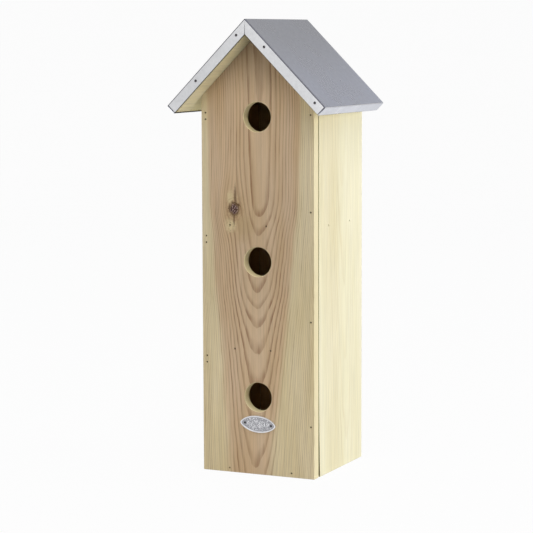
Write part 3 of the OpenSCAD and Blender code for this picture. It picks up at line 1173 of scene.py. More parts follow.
class Workpiece:
    """A mesh in the making, with the few operations that the pieces share."""

    def __init__(self) -> None:
        """Starts with an empty mesh."""
        self.bm = bmesh.new()

    def append(self, other: Mesh) -> None:
        """Takes in another mesh and frees it.

        Args:
            other: The mesh to take in.
        """
        carrier = bpy.data.meshes.new("carrier")
        other.to_mesh(carrier)
        other.free()
        self.bm.from_mesh(carrier)
        bpy.data.meshes.remove(carrier)

    def turn(self, profile: Sequence[Pair], place: Matrix, steps: int) -> None:
        """Turns a profile about its axis, as on a lathe.

        Args:
            profile: Points as (radius, height), starting and ending on the axis.
            place: Where the turned shape goes.
            steps: Sides of the turned shape.
        """
        bm = bmesh.new()
        points = [bm.verts.new((radius, 0.0, height)) for radius, height in profile]
        edges = [bm.edges.new(pair) for pair in zip(points, points[1:])]
        bmesh.ops.spin(bm, geom=points + edges, cent=(0, 0, 0), axis=(0, 0, 1), angle=math.tau,
                       steps=steps, use_merge=True)
        bmesh.ops.remove_doubles(bm, verts=bm.verts, dist=THIN)
        bmesh.ops.recalc_face_normals(bm, faces=bm.faces)
        bmesh.ops.transform(bm, matrix=place, verts=bm.verts)
        self.append(bm)

    def to_object(self, name: str) -> Piece:
        """Makes an object of the mesh and frees it.

        Args:
            name: Name of the object.

        Returns:
            The object, linked to the scene.
        """
        mesh = bpy.data.meshes.new(name)
        self.bm.to_mesh(mesh)
        self.bm.free()
        made = bpy.data.objects.new(name, mesh)
        bpy.context.scene.collection.objects.link(made)
        return made


def picked(items: Iterable[object], kind: type) -> list:
    """Picks the elements of one kind out of what an operator gives back."""
    return [item for item in items if isinstance(item, kind)]


def nail_section(head: Section, thin: float, straight: float, length: float, tip: float) -> Section:
    """Draws half the section of a nail.

    Args:
        head: Half the section of its head.
        thin: Radius of its shank.
        straight: How far the shank runs before it narrows.
        length: Length of the nail.
        tip: Radius of its tip as a share of the shank's.

    Returns:
        Points as (radius, height).
    """
    return [*head, (thin, straight), (thin * tip, length), (0.0, length)]


def carve(piece: Piece, cutter: Workpiece) -> None:
    """Cuts a shape out of a piece.

    Args:
        piece: The piece, which keeps its name and place.
        cutter: The shape to cut away.
    """
    tool = cutter.to_object(piece.name + "_cutter")
    cut = piece.modifiers.new("cut", "BOOLEAN")
    cut.operation = "DIFFERENCE"
    cut.solver = "EXACT"
    cut.object = tool
    depsgraph = bpy.context.evaluated_depsgraph_get()
    carved = bpy.data.meshes.new_from_object(piece.evaluated_get(depsgraph))
    piece.modifiers.clear()
    whole = piece.data
    piece.data = carved
    carved.name = piece.name
    bpy.data.meshes.remove(whole)
    bpy.data.objects.remove(tool)


def mark_faces(piece: Piece, name: str, test: Callable[[Side], bool]) -> None:
    """Marks the faces that pass a test, for the finish to read by the mark's name."""
    mark = piece.data.attributes.new(name, "FLOAT", "FACE")
    mark.data.foreach_set("value", [float(test(face)) for face in piece.data.polygons])


def deliver(piece: Piece, node: str, material: bpy.types.Material) -> None:
    """Dresses a finished piece and sets it in the place of its node.

    Args:
        piece: The piece.
        node: Name of the node that it stands for.
        material: Its finish.
    """
    piece.data.materials.clear()
    piece.data.materials.append(material)
    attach(piece, BODY)
    slot_of(node)
    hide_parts(node)
    LOG.info("%s: %d faces, %s", piece.name, len(piece.data.polygons), material.name)


@dataclass(frozen=True)
class Shank:
    """One nail, brad or pin of the frame: the middle of its head, its direction inwards and its length."""

    head: Vector
    inwards: Vector
    length: float

    @property
    def place(self) -> Matrix:
        """Sets +Z along the direction, with the origin at the head."""
        turn = Vector(UP).rotation_difference(self.inwards).to_matrix().to_4x4()
        return Matrix.Translation(self.head) @ turn

    def reaches(self, low: Vector, high: Vector) -> bool:
        """Says whether the shank runs into a box.

        Args:
            low: Lowest corner of the box.
            high: Highest corner of the box.

        Returns:
            True if it does.
        """
        ends = (self.head, self.head + self.inwards * self.length)
        spans = zip(zip(*ends), low, high)
        return all(min(span) < top and max(span) > foot for span, foot, top in spans)


def islands(node: str) -> list[tuple[Vector, Vector]]:
    """Finds the separate solids of a node.

    Args:
        node: Name of the node.

    Returns:
        The lowest and highest corner of each solid.
    """
    bm = bmesh.new()
    bm.from_mesh(frame["nodes"][node].data)
    bmesh.ops.remove_doubles(bm, verts=bm.verts, dist=WELD)
    waiting = set(bm.verts)
    boxes = []
    while waiting:
        edge = [waiting.pop()]
        solid = []
        while edge:
            vert = edge.pop()
            solid.append(vert.co.copy())
            fresh = {link.other_vert(vert) for link in vert.link_edges} & waiting
            waiting -= fresh
            edge.extend(fresh)
        boxes.append((Vector(map(min, zip(*solid))), Vector(map(max, zip(*solid)))))
    bm.free()
    return sorted(boxes, key=lambda box: tuple(box[0]))


def shanks(node: str, inwards: Triple) -> list[Shank]:
    """Reads the nails of a node.

    Args:
        node: Name of the node.
        inwards: Direction in which they are driven.

    Returns:
        The nails.
    """
    found = []
    way = Vector(inwards)
    for low, high in islands(node):
        middle = (low + high) / 2
        length = abs((high - low).dot(way))
        found.append(Shank(middle - way * length / 2, way, length))
    return found


BRAD_ROWS = {
    "front_left_brads": TO_BACK,
    "front_right_brads": TO_BACK,
    "front_base_brads": TO_BACK,
    "front_middle_floor_brads": TO_BACK,
    "front_upper_floor_brads": TO_BACK,
    "left_wall_brads": TO_RIGHT,
    "right_wall_brads": TO_LEFT,
    "back_wall_brads": TO_FRONT,
}


@dataclass(frozen=True)
class Brads:
    """The thin brads that hold the boards, sunk below the surface in small torn craters."""

    diameter: float = 1.8 * MM
    clearance: float = 0.05 * MM
    sunk: float = 0.8 * MM
    crater: float = 1.25 * MM
    crater_share: float = 0.45
    dome: float = 0.2 * MM
    point: float = 3.0 * MM
    tip: float = 0.3
    steps: int = 16

    # Points of the domed head, as shares of the radius and of the dome
    head_shares = ((0.0, 0.0), (0.6, 0.3), (0.92, 1.0), (1.0, 1.8))

    def rows(self) -> dict[str, list[Shank]]:
        """Reads every row of brads from the frame."""
        return {node: shanks(node, inwards) for node, inwards in BRAD_ROWS.items()}

    def bore(self, cutter: Workpiece, brad: Shank, lip: float) -> None:
        """Adds the hole of one brad to a cutter.

        Args:
            cutter: The cutter of a board.
            brad: The brad.
            lip: How far the cutter stands out of the face.
        """
        radius = self.diameter / 2 + self.clearance
        depth = brad.length + self.clearance
        profile = [
            (0.0, -self.sunk - lip), (self.crater, -self.sunk - lip), (self.crater, -self.sunk),
            (radius, -self.sunk * self.crater_share), (radius, depth), (0.0, depth),
        ]
        cutter.turn(profile, brad.place, self.steps)

    def build(self, node: str, brads: Iterable[Shank]) -> Piece:
        """Builds one row of brads.

        Args:
            node: Name of the row's node.
            brads: The brads of the row.

        Returns:
            The row as one piece.
        """
        row = Workpiece()
        radius = self.diameter / 2
        head = [(radius * wide, self.dome * deep) for wide, deep in self.head_shares]
        for brad in brads:
            profile = nail_section(head, radius, brad.length - self.point, brad.length, self.tip)
            row.turn(profile, brad.place, self.steps)
        return row.to_object(node + "_steel")

    def dress(self, rows: dict[str, list[Shank]]) -> None:
        """Builds and finishes all the rows.

        Args:
            rows: The brads of each row by its node.
        """
        finish = BRAD_STEEL.material()
        for node, brads in rows.items():
            deliver(self.build(node, brads), node, finish)


@dataclass(frozen=True)
class Board:
    """One planed board with softened edges, holes and rough inner faces."""

    node: str
    finish: WoodFinish
    inner_faces: tuple[Triple, ...] = ()
    softening: float = 0.55 * MM
    steps: int = 3
    straight: float = math.radians(0.5)
    level: float = 0.99
    endwise: float = 0.65
    edgewise: float = 0.90

    @cached_property
    def middle(self) -> Vector:
        """Finds the middle of the board's box."""
        low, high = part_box(self.node)
        return (low + high) / 2

    def fitted(self, corner: Vector) -> Vector:
        """Leaves a corner of the board where the frame has it."""
        return corner

    def plank(self) -> Piece:
        """Cuts the board to its outline and softens its edges.

        Returns:
            The board without holes.
        """
        work = Workpiece()
        bm = work.bm
        for vertex in frame["nodes"][self.node].data.vertices:
            bm.verts.new(self.fitted(vertex.co))
        bmesh.ops.remove_doubles(bm, verts=bm.verts, dist=WELD)
        hull = bmesh.ops.convex_hull(bm, input=bm.verts)
        spare = set(picked(hull["geom_interior"] + hull["geom_unused"], Vert))
        bmesh.ops.delete(bm, geom=list(spare), context="VERTS")
        bmesh.ops.dissolve_limit(bm, angle_limit=self.straight, verts=bm.verts, edges=bm.edges)
        self.trim(bm)
        bmesh.ops.bevel(bm, geom=bm.edges, offset=self.softening, offset_type="OFFSET", segments=self.steps,
                        profile=0.5, affect="EDGES", material=-1)
        return work.to_object(self.node + "_wood")

    def trim(self, bm: Mesh) -> None:
        """Leaves the sawn outline as it is, as on most boards."""

    def holes(self, cutter: Workpiece) -> None:
        """Adds the board's own holes to its cutter, which most boards have none of."""

    def build(self, brads: Brads, rows: dict[str, list[Shank]]) -> Piece:
        """Builds the board with the holes of its brads.

        Args:
            brads: How the brads are made.
            rows: The brads of each row by its node.

        Returns:
            The finished shape.
        """
        piece = self.plank()
        low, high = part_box(self.node)
        cutter = Workpiece()
        for brad in (brad for row in rows.values() for brad in row):
            if brad.reaches(low, high):
                brads.bore(cutter, brad, self.softening)
        self.holes(cutter)
        if cutter.bm.faces:
            carve(piece, cutter)
        along = self.finish.grain.along
        wide = self.finish.grain.wide
        mark_faces(piece, "inner_face", self.is_inner)
        mark_faces(piece, "end_grain", lambda face: abs(face.normal.dot(along)) > self.endwise)
        mark_faces(piece, "edge_grain", lambda face: abs(face.normal.dot(wide)) > self.edgewise)
        mark_faces(piece, "bore", self.is_bored)
        mark_faces(piece, "joint", self.is_joint)
        return piece

    def is_inner(self, face: Side) -> bool:
        """Says whether a face lies inside the house, or on a roof board behind the sheet's folded edges."""
        return any(face.normal.dot(Vector(way)) > self.level for way in self.inner_faces)

    def is_bored(self, face: Side) -> bool:
        """Says whether a face lies in a large bored hole, which most boards have none of."""
        return False

    def is_joint(self, face: Side) -> bool:
        """Says whether a face lies in an open joint, which most boards have none of."""
        return False

    def dress(self, brads: Brads, rows: dict[str, list[Shank]]) -> None:
        """Builds and finishes the board, with the holes of its brads."""
        deliver(self.build(brads, rows), self.node, self.finish.material())


@dataclass(frozen=True)
class FrontBoard(Board):
    """The gabled front board with its three round entry holes and the holes of the plate's pins."""

    hole_diameter: float = 33.0 * MM
    hole_softening: float = 0.9 * MM
    hole_steps: int = 96
    rim_angles: tuple[float, ...] = (0, 30, 60, 90)
    pin_diameter: float = 1.5 * MM
    pin_steps: int = 16
    entries: tuple[str, ...] = ("lower_entry", "middle_entry", "upper_entry")

    @cached_property
    def entry_places(self) -> list[Vector]:
        """Finds the middle of each entry hole.

        Returns:
            The middles on the front face.
        """
        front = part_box(self.node)[0].y
        boxes = {row["name"]: row["box_m"] for row in frame["record"]["physics"]["openings"]}
        middles = [(Vector(boxes[name][0]) + Vector(boxes[name][1])) / 2 for name in self.entries]
        return [Vector((middle.x, front, middle.z)) for middle in middles]

    def is_bored(self, face: Side) -> bool:
        """Says whether a face lies in an entry hole."""
        reach = (self.hole_diameter + self.hole_softening) / 2
        return any((face.center - middle).xz.length < reach for middle in self.entry_places)

    def holes(self, cutter: Workpiece) -> None:
        """Adds the entry holes, with rounded rims, and the pin holes.

        Args:
            cutter: The cutter of the board.
        """
        low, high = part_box(self.node)
        thickness = high.y - low.y
        radius = self.hole_diameter / 2
        soft = self.hole_softening
        quarter = [math.radians(angle) for angle in self.rim_angles]
        mouth = [(radius + soft - soft * math.sin(a), soft - soft * math.cos(a)) for a in quarter]
        outlet = [(r, thickness - h) for r, h in reversed(mouth)]
        profile = [(0.0, -soft), (radius + soft, -soft), *mouth, *outlet,
                   (radius + soft, thickness + soft), (0.0, thickness + soft)]
        for middle in self.entry_places:
            cutter.turn(profile, Shank(middle, Vector(TO_BACK), thickness).place, self.hole_steps)
        pin_radius = self.pin_diameter / 2
        for pin in shanks("plate_pins", TO_BACK):
            bore = [(0.0, 0.0), (pin_radius, 0.0), (pin_radius, pin.length), (0.0, pin.length)]
            cutter.turn(bore, pin.place, self.pin_steps)


@dataclass(frozen=True)
class RightBoard(Board):
    """The right side board, whose front edge stands back in an open joint, further at its foot."""

    joint_relief: float = 0.7 * MM
    foot_relief: float = 3.4 * MM
    knee_relief: float = 1.5 * MM
    knee_height: float = 48.0 * MM

    def fitted(self, corner: Vector) -> Vector:
        """Draws the board's front edge back from the front board.

        Args:
            corner: A corner of the board in the frame.

        Returns:
            The corner on the trimmed board.
        """
        moved = corner.copy()
        if corner.y < self.middle.y:
            moved.y += self.joint_relief
        return moved

    def trim(self, bm: Mesh) -> None:
        """Planes the front edge back at its foot.

        Args:
            bm: The board in the making.
        """
        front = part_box(self.node)[0].y
        foot = Vector((0, front + self.foot_relief, 0))
        rise = Vector((0, front + self.knee_relief, self.knee_height)) - foot
        whole = bm.verts[:] + bm.edges[:] + bm.faces[:]
        cut = bmesh.ops.bisect_plane(bm, geom=whole, dist=THIN, plane_co=foot,
                                     plane_no=rise.cross(Vector(TO_RIGHT)), clear_inner=True)
        bmesh.ops.edgeloop_fill(bm, edges=picked(cut["geom_cut"], Edge))

    def is_joint(self, face: Side) -> bool:
        """Says whether a face lies in the open joint behind the front board, which its finish paints dark as
        shade.
        """
        return face.normal.y < -self.level


@dataclass(frozen=True)
class RoofBoard(Board):
    """A roof board that stands a little clear of the sheet's folded edges; its dark line there is partly
    painted shade.
    """

    gap: float = 1.2 * MM
    front_gap: float = 2.8 * MM

    def fitted(self, corner: Vector) -> Vector:
        """Draws the board's front, back and eave edges in from the sheet.

        Args:
            corner: A corner of the board in the frame.

        Returns:
            The corner on the trimmed board.
        """
        middle = self.middle
        side = math.copysign(1, middle.x)
        moved = corner.copy()
        moved.y += self.front_gap if corner.y < middle.y else -self.gap
        if (corner.x - middle.x) * side > 0:
            moved += Vector((-side, 0, 1)) * self.gap * SLOPE
        return moved


@dataclass(frozen=True)
class FoldedEdge:
    """A front or back folded edge: its corner at the ridge, and its directions down the slope and inwards."""

    corner: Vector
    down: Vector
    inwards: Vector


@dataclass(frozen=True)
class RoofSheet:
    """The zinc sheet: bent at the ridge and folded down over all its edges, with open seams between them."""

    node: str = "roof_sheet"
    thickness: float = 0.5 * MM
    bend: float = 1.1 * MM
    bend_steps: int = 3
    bend_angle: float = math.radians(20)
    soft_fold: float = 0.35
    seam: float = 0.7 * MM
    hem: float = 0.2 * MM
    end_strip: float = 0.35 * MM
    pitch: float = math.radians(45)
    columns: int = 40
    rows: int = 24
    buckle: float = 0.12 * MM
    buckle_waves: float = 24.0
    dimple: float = 0.16 * MM
    dimple_radius: float = 2.1 * MM
    head_radius: float = 1.45 * MM
    nail_steps: int = 20
    sloping: float = 0.3

    @cached_property
    def box(self) -> tuple[Vector, Vector]:
        """Finds the sheet's box."""
        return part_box(self.node)

    @cached_property
    def fold(self) -> float:
        """Works out how deep the edges are folded down."""
        low, high = self.box
        return (high.z - high.x * math.tan(self.pitch) - low.z) / math.cos(self.pitch)

    def slopes(self, bm: Mesh) -> None:
        """Lays the two slopes as one folded grid.

        Args:
            bm: The sheet in the making.
        """
        low, high = self.box
        bmesh.ops.create_grid(bm, x_segments=self.columns, y_segments=self.rows, size=0.5)
        middle = (low.y + high.y) / 2
        for vert in bm.verts:
            x, y, _ = vert.co
            fall = abs(x) * 2 * high.x * math.tan(self.pitch)
            vert.co = (x * 2 * high.x, middle + y * (high.y - low.y), high.z - fall)

    def run(self, depth: float) -> Pair:
        """Says where a folded edge starts and ends down the slope.

        Args:
            depth: Depth on the folded edge, 0 on the slope itself.

        Returns:
            Both distances from the ridge.
        """
        length = self.box[1].x / math.cos(self.pitch)
        if not depth:
            return 0.0, length
        first = depth * math.tan(self.pitch) + self.seam / 2 / math.cos(self.pitch)
        return first, length - self.thickness - self.seam

    def mitred(self, edge: FoldedEdge, before: float, depth: float, point: Vector) -> Vector:
        """Sets a point deeper on a folded edge, along the mitre at the ridge.

        Args:
            edge: The folded edge.
            before: Depth where the point lies.
            depth: Depth where it goes.
            point: The point.

        Returns:
            Its new place.
        """
        start, end = self.run(before)
        first, last = self.run(depth)
        share = ((point - edge.corner).dot(edge.down) - start) / (end - start)
        return edge.corner + edge.down * (first + (last - first) * share) + edge.inwards * depth

    def moved(self, way: Vector, point: Vector) -> Vector:
        """Moves a point of a folded edge straight on."""
        return point + way

    def lower(self, bm: Mesh, edges: list[Edge], place: Callable[[Vector], Vector]) -> list[Edge]:
        """Extrudes one strip of a folded edge.

        Args:
            bm: The sheet in the making.
            edges: The edges to start from.
            place: Takes a point of those edges and gives its place on the strip's far side.

        Returns:
            The edges of the far side.
        """
        fresh = bmesh.ops.extrude_edge_only(bm, edges=edges)["geom"]
        for vert in picked(fresh, Vert):
            vert.co = place(vert.co)
        return [edge for edge in picked(fresh, Edge)
                if edge.is_boundary and all(vert in fresh for vert in edge.verts)]

    def fold_down(self, bm: Mesh) -> None:
        """Extrudes the folded edges from the outline of the slopes, each with a narrow hem.

        Args:
            bm: The sheet in the making.
        """
        low, high = self.box
        hem = self.fold - self.hem
        tiny = self.seam / 4
        outline = [edge for edge in bm.edges if edge.is_boundary]
        for side in (-1, 1):
            down = Vector((side * math.cos(self.pitch), 0, -math.sin(self.pitch)))
            inwards = Vector((-side * math.sin(self.pitch), 0, -math.cos(self.pitch)))
            mine = [edge for edge in outline if side * sum(v.co.x for v in edge.verts) > 0]
            for plane in (low.y, high.y):
                edge = FoldedEdge(Vector((0, plane, high.z)), down, inwards)
                top = [item for item in mine if all(abs(v.co.y - plane) < tiny for v in item.verts)]
                border = self.lower(bm, top, partial(self.mitred, edge, 0.0, hem))
                self.mark_hem(bm, self.lower(bm, border, partial(self.mitred, edge, hem, self.fold)))
            eave = [item for item in mine if all(abs(abs(v.co.x) - high.x) < tiny for v in item.verts)]
            border = self.lower(bm, eave, partial(self.moved, inwards * hem))
            self.mark_hem(bm, self.lower(bm, border, partial(self.moved, inwards * self.hem)))
            last = self.run(hem)[1] - self.end_strip
            self.mark_ends(bm, Vector((0, 0, high.z)) + down * last, down)

    def mark_hem(self, bm: Mesh, border: list[Edge]) -> None:
        """Marks the narrow strip along a cut border, for the finish to darken.

        Args:
            bm: The sheet in the making.
            border: Edges of the border.
        """
        mark = bm.faces.layers.float["fold"]
        for edge in border:
            for face in edge.link_faces:
                face[mark] = 1.0

    def is_upright(self, face: Face) -> bool:
        """Says whether a face lies in the front or back folded edge."""
        low, high = self.box
        return all(min(v.co.y - low.y, high.y - v.co.y) < WELD for v in face.verts)

    def mark_ends(self, bm: Mesh, start: Vector, down: Vector) -> None:
        """Marks the ends of the front and back folded edges beside their seams, for the finish to darken.

        Args:
            bm: The sheet in the making.
            start: A point where the ends begin.
            down: Direction down the slope.
        """
        mark = bm.faces.layers.float["fold"]
        flat = [face for face in bm.faces if self.is_upright(face)]
        around = {item for face in flat for item in (*face.edges, *face.verts)}
        split = bmesh.ops.bisect_plane(bm, geom=[*flat, *around], dist=THIN, plane_co=start, plane_no=down)
        for face in picked(split["geom"], Face):
            if (face.calc_center_median() - start).dot(down) > 0:
                face[mark] = 1.0

    def buckled(self, vert: Vert) -> Vector:
        """Works out how far a point of the sheet lies off its plane."""
        return vert.normal * self.buckle * (noise.noise(vert.co * self.buckle_waves) - 0.5)

    def round_bends(self, bm: Mesh) -> None:
        """Buckles the flat parts a little and rounds the bends between them.

        Args:
            bm: The sheet in the making.
        """
        mark = bm.faces.layers.float["fold"]
        bends = {edge for edge in bm.edges if edge.calc_face_angle(0.0) > self.bend_angle}
        inner = [v for v in bm.verts if not v.is_boundary and bends.isdisjoint(v.link_edges)]
        for vert, move in [(v, self.buckled(v)) for v in inner]:
            vert.co += move
        low, high = self.box
        bent = bmesh.ops.bevel(bm, geom=list(bends), offset=self.bend, offset_type="OFFSET",
                               segments=self.bend_steps, profile=0.5, affect="EDGES", material=-1)
        for face in bent["faces"]:
            y = face.calc_center_median().y
            face[mark] = 1.0 if min(y - low.y, high.y - y) < 2 * self.bend else self.soft_fold

    def build(self) -> Piece:
        """Builds the folded sheet.

        Returns:
            The sheet, with the dimples and holes of its nails.
        """
        work = Workpiece()
        bm = work.bm
        bm.faces.layers.float.new("fold")
        self.slopes(bm)
        self.fold_down(bm)
        bmesh.ops.recalc_face_normals(bm, faces=bm.faces)
        self.round_bends(bm)
        bmesh.ops.recalc_face_normals(bm, faces=bm.faces)
        bmesh.ops.solidify(bm, geom=bm.faces, thickness=self.thickness)
        piece = work.to_object(self.node + "_zinc")
        cutter = Workpiece()
        for nail in shanks("roof_front_nails", TO_BACK):
            self.dish(cutter, nail)
        for nail in shanks("roof_back_nails", TO_FRONT):
            self.socket(cutter, nail)
        carve(piece, cutter)
        mark_faces(piece, "slope", lambda face: face.normal.z > self.sloping)
        mark_faces(piece, "eave", lambda face: face.normal.z < -self.sloping)
        return piece

    def dish(self, cutter: Workpiece, nail: Shank) -> None:
        """Adds the shallow dimple that a driven nail draws in the sheet.

        Args:
            cutter: The cutter of the sheet.
            nail: A front nail.
        """
        top = self.box[0].y - nail.head.y
        foot = top + self.dimple
        wide = self.dimple_radius
        profile = [(0.0, 0.0), (wide, 0.0), (wide, top), (self.head_radius, foot), (0.0, foot)]
        cutter.turn(profile, nail.place, self.nail_steps)

    def socket(self, cutter: Workpiece, nail: Shank) -> None:
        """Adds the hole round a flush head.

        Args:
            cutter: The cutter of the sheet.
            nail: A back nail.
        """
        wide = self.head_radius
        top, foot = -self.thickness, 2 * self.thickness
        cutter.turn([(0.0, top), (wide, top), (wide, foot), (0.0, foot)], nail.place, self.nail_steps)

    def dress(self) -> None:
        """Builds and finishes the sheet."""
        deliver(self.build(), self.node, ZINC.material())


@dataclass(frozen=True)
class RoofNails:
    """The nails in the folded edges of the roof: low domed heads in front, flush heads behind."""

    diameter: float = 1.6 * MM
    head_diameter: float = 2.8 * MM
    head_height: float = 0.5 * MM
    flush_height: float = 0.5 * MM
    flush_sunk: float = 0.06 * MM
    dome_share: float = 0.8
    point: float = 3.0 * MM
    tip: float = 0.25
    steps: int = 24

    # Points of the head's top, as shares of its radius and of its dome
    head_shares = ((0.0, 0.0), (0.45, 0.18), (0.80, 0.62), (1.0, 1.0))

    def build(self, node: str, nails: Iterable[Shank], start: float, head: float, dome: float) -> Piece:
        """Builds one row of nails.

        Args:
            node: Name of the row's node.
            nails: The nails of the row.
            start: Where the heads' middles start.
            head: Thickness of the heads.
            dome: How far the heads' rims lie below their middles.

        Returns:
            The row as one piece.
        """
        row = Workpiece()
        wide = self.head_diameter / 2
        thin = self.diameter / 2
        top = [(wide * out, start + dome * deep) for out, deep in self.head_shares]
        for nail in nails:
            profile = nail_section([*top, (wide, head), (thin, head)], thin, nail.length - self.point,
                                   nail.length, self.tip)
            row.turn(profile, nail.place, self.steps)
        return row.to_object(node + "_steel")

    def dress(self) -> None:
        """Builds and finishes both rows."""
        finish = NAIL_STEEL.material()
        front = shanks("roof_front_nails", TO_BACK)
        head = self.head_height + RoofSheet.dimple
        domed = self.build("roof_front_nails", front, 0.0, head, self.head_height * self.dome_share)
        deliver(domed, "roof_front_nails", finish)
        back = shanks("roof_back_nails", TO_FRONT)
        flush = self.build("roof_back_nails", back, self.flush_sunk, self.flush_height, self.flush_sunk)
        deliver(flush, "roof_back_nails", finish)


@dataclass(frozen=True)
class OvalPlate:
    """The bare oval plate with a raised rim and a stippled field, and its two pins."""

    node: str = "oval_plate"
    pin_node: str = "plate_pins"
    width: float = 43.5 * MM
    height: float = 19.0 * MM
    point: float = 1.3
    thickness: float = 0.8 * MM
    rim: float = 1.6 * MM
    rim_height: float = 0.5 * MM
    rounding: float = 0.22 * MM
    rounding_share: float = 0.3
    outline_steps: int = 96
    stipple: float = 0.58 * MM
    stipple_height: float = 0.30 * MM
    stipple_rows: int = 12
    stipple_columns: int = 28
    stipple_drift: float = 0.5
    stipple_sizes: Pair = (0.6, 1.15)
    stipple_kept: float = 0.72
    stipple_shoulder: float = 0.7
    stipple_steps: int = 8
    stipple_seed: int = 7
    pin_diameter: float = 1.4 * MM
    pin_head: float = 2.6 * MM
    pin_head_height: float = 0.6 * MM
    pin_straight: float = 0.8
    pin_tip: float = 0.2
    pin_steps: int = 24

    # Points of a pin's head, as shares of its radius and of its height
    pin_shares = ((0.0, 0.0), (0.5, 0.12), (0.85, 0.5), (1.0, 0.95), (1.0, 1.0))

    def pins(self) -> list[Shank]:
        """Reads the two pins from the frame."""
        return shanks(self.pin_node, TO_BACK)

    def place(self) -> Matrix:
        """Sets the plate on the front face, tilted as its pins are.

        Returns:
            Where a plate drawn in the XY plane goes, with +Z out of the board.
        """
        left, right = sorted(self.pins(), key=lambda pin: pin.head.x)
        low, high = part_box(self.node)
        span = right.head - left.head
        middle = Vector(((low.x + high.x) / 2, high.y, (low.z + high.z) / 2))
        upright = Matrix.Rotation(math.pi / 2, 4, "X")
        tilted = Matrix.Rotation(math.atan2(span.z, span.x), 4, "Z")
        return Matrix.Translation(middle) @ upright @ tilted

    def oval(self, x: float, y: float, inset: float = 0.0) -> Pair:
        """Maps a point of the unit circle to the plate's pointed oval.

        Args:
            x: Its place across the circle.
            y: Its place up the circle.
            inset: How far inside the outline the oval lies.

        Returns:
            Its place on the plate.
        """
        pointed = math.copysign(abs(y) ** self.point, y)
        return x * (self.width / 2 - inset), pointed * (self.height / 2 - inset)

    def section(self) -> Section:
        """Draws the plate's section from its outline to its field.

        Returns:
            Points as (inset from the outline, height over the board).
        """
        top = self.thickness + self.rim_height
        soft = self.rounding
        part = self.rounding_share * soft
        return [
            (0.0, top - soft), (part, top - part), (soft, top), (self.rim - soft, top),
            (self.rim - part, top - part), (self.rim, top - soft), (self.rim + soft, self.thickness),
        ]

    def blank(self, bm: Mesh) -> None:
        """Stamps the plate with its raised rim.

        Args:
            bm: The plate in the making.
        """
        dull = bm.faces.layers.float.new("fold")
        across = bm.verts.layers.float.new("across")
        upward = bm.verts.layers.float.new("upward")
        bmesh.ops.create_circle(bm, cap_ends=True, segments=self.outline_steps, radius=1.0)
        for vert in bm.verts:
            vert[across], vert[upward] = vert.co.xy
            vert.co.xy = self.oval(vert.co.x, vert.co.y)
        cap = bm.faces[:]
        base = cap[0]
        for inset, height in self.section():
            raised = bmesh.ops.extrude_face_region(bm, geom=cap)["geom"]
            for vert in picked(raised, Vert):
                vert.co = (*self.oval(vert[across], vert[upward], inset), height)
            bmesh.ops.delete(bm, geom=[face for face in cap if face is not base], context="FACES_ONLY")
            cap = picked(raised, Face)
        for field in cap:
            field[dull] = 1.0
        bmesh.ops.recalc_face_normals(bm, faces=bm.faces)

    def stud(self, size: float) -> Section:
        """Draws half the section of a stud.

        Args:
            size: Its radius.

        Returns:
            Points as (radius, height).
        """
        high = self.stipple_height
        shoulder = (size * self.stipple_shoulder, high * self.stipple_shoulder)
        return [(0.0, high), shoulder, (size, 0.0), (size, -high), (0.0, -high)]

    def stippled(self, work: Workpiece) -> None:
        """Sets low studs over the field, thinned at random and clear of the rim and the pins.

        Args:
            work: The plate in the making.
        """
        draw = random.Random(self.stipple_seed)
        half = self.width / 2 - self.rim - 2 * self.stipple
        tall = self.height / 2 - self.rim - 2 * self.stipple
        left, right = self.pins()
        pins = Vector(((right.head - left.head).length / 2, 0))
        for row in range(self.stipple_rows):
            for column in range(self.stipple_columns):
                x = -half + 2 * half * (column + 0.5 * (row % 2)) / self.stipple_columns
                y = -tall + 2 * tall * (row + 0.5) / self.stipple_rows
                x += draw.uniform(-1, 1) * self.stipple
                y += draw.uniform(-1, 1) * self.stipple * self.stipple_drift
                size = self.stipple * draw.uniform(*self.stipple_sizes)
                kept = draw.random() < self.stipple_kept
                spot = Vector((x, y))
                edge = max(0.0, 1 - (spot.x / half) ** 2) ** (self.point / 2)
                clear = min((spot - pins).length, (spot + pins).length) > self.pin_head
                if kept and clear and abs(spot.y) <= tall * edge:
                    there = Matrix.Translation((*spot, self.thickness))
                    work.turn(self.stud(size), there, self.stipple_steps)

    def build(self) -> Piece:
        """Builds the plate in its place.

        Returns:
            The plate.
        """
        work = Workpiece()
        self.blank(work.bm)
        self.stippled(work)
        bmesh.ops.transform(work.bm, matrix=self.place(), verts=work.bm.verts)
        return work.to_object(self.node + "_stamped")

    def build_pins(self) -> Piece:
        """Builds the two pins with domed heads.

        Returns:
            Both pins as one piece.
        """
        row = Workpiece()
        wide = self.pin_head / 2
        thin = self.pin_diameter / 2
        head = [(wide * out, self.pin_head_height * deep) for out, deep in self.pin_shares]
        head.append((thin, self.pin_head_height))
        for pin in self.pins():
            profile = nail_section(head, thin, pin.length * self.pin_straight, pin.length, self.pin_tip)
            row.turn(profile, pin.place, self.pin_steps)
        return row.to_object(self.pin_node + "_steel")

    def dress(self) -> None:
        """Builds and finishes the plate and its pins."""
        deliver(self.build(), self.node, PLATE_METAL.material())
        deliver(self.build_pins(), self.pin_node, PIN_STEEL.material())


@dataclass(frozen=True)
class Softbox:
    """A large soft lamp that shines at the middle of the house."""

    name: str
    place: Triple
    size: float
    power: float
    aim: Triple = (0.0, 0.0, 0.25)

    def build(self) -> None:
        """Hangs the lamp."""
        lamp = bpy.data.lights.new(self.name, "AREA")
        lamp.size = self.size
        lamp.energy = self.power
        box = bpy.data.objects.new(self.name, lamp)
        bpy.context.scene.collection.objects.link(box)
        box.location = self.place
        box.rotation_euler = (Vector(self.aim) - Vector(self.place)).to_track_quat("-Z", "Y").to_euler()
        box.visible_camera = False


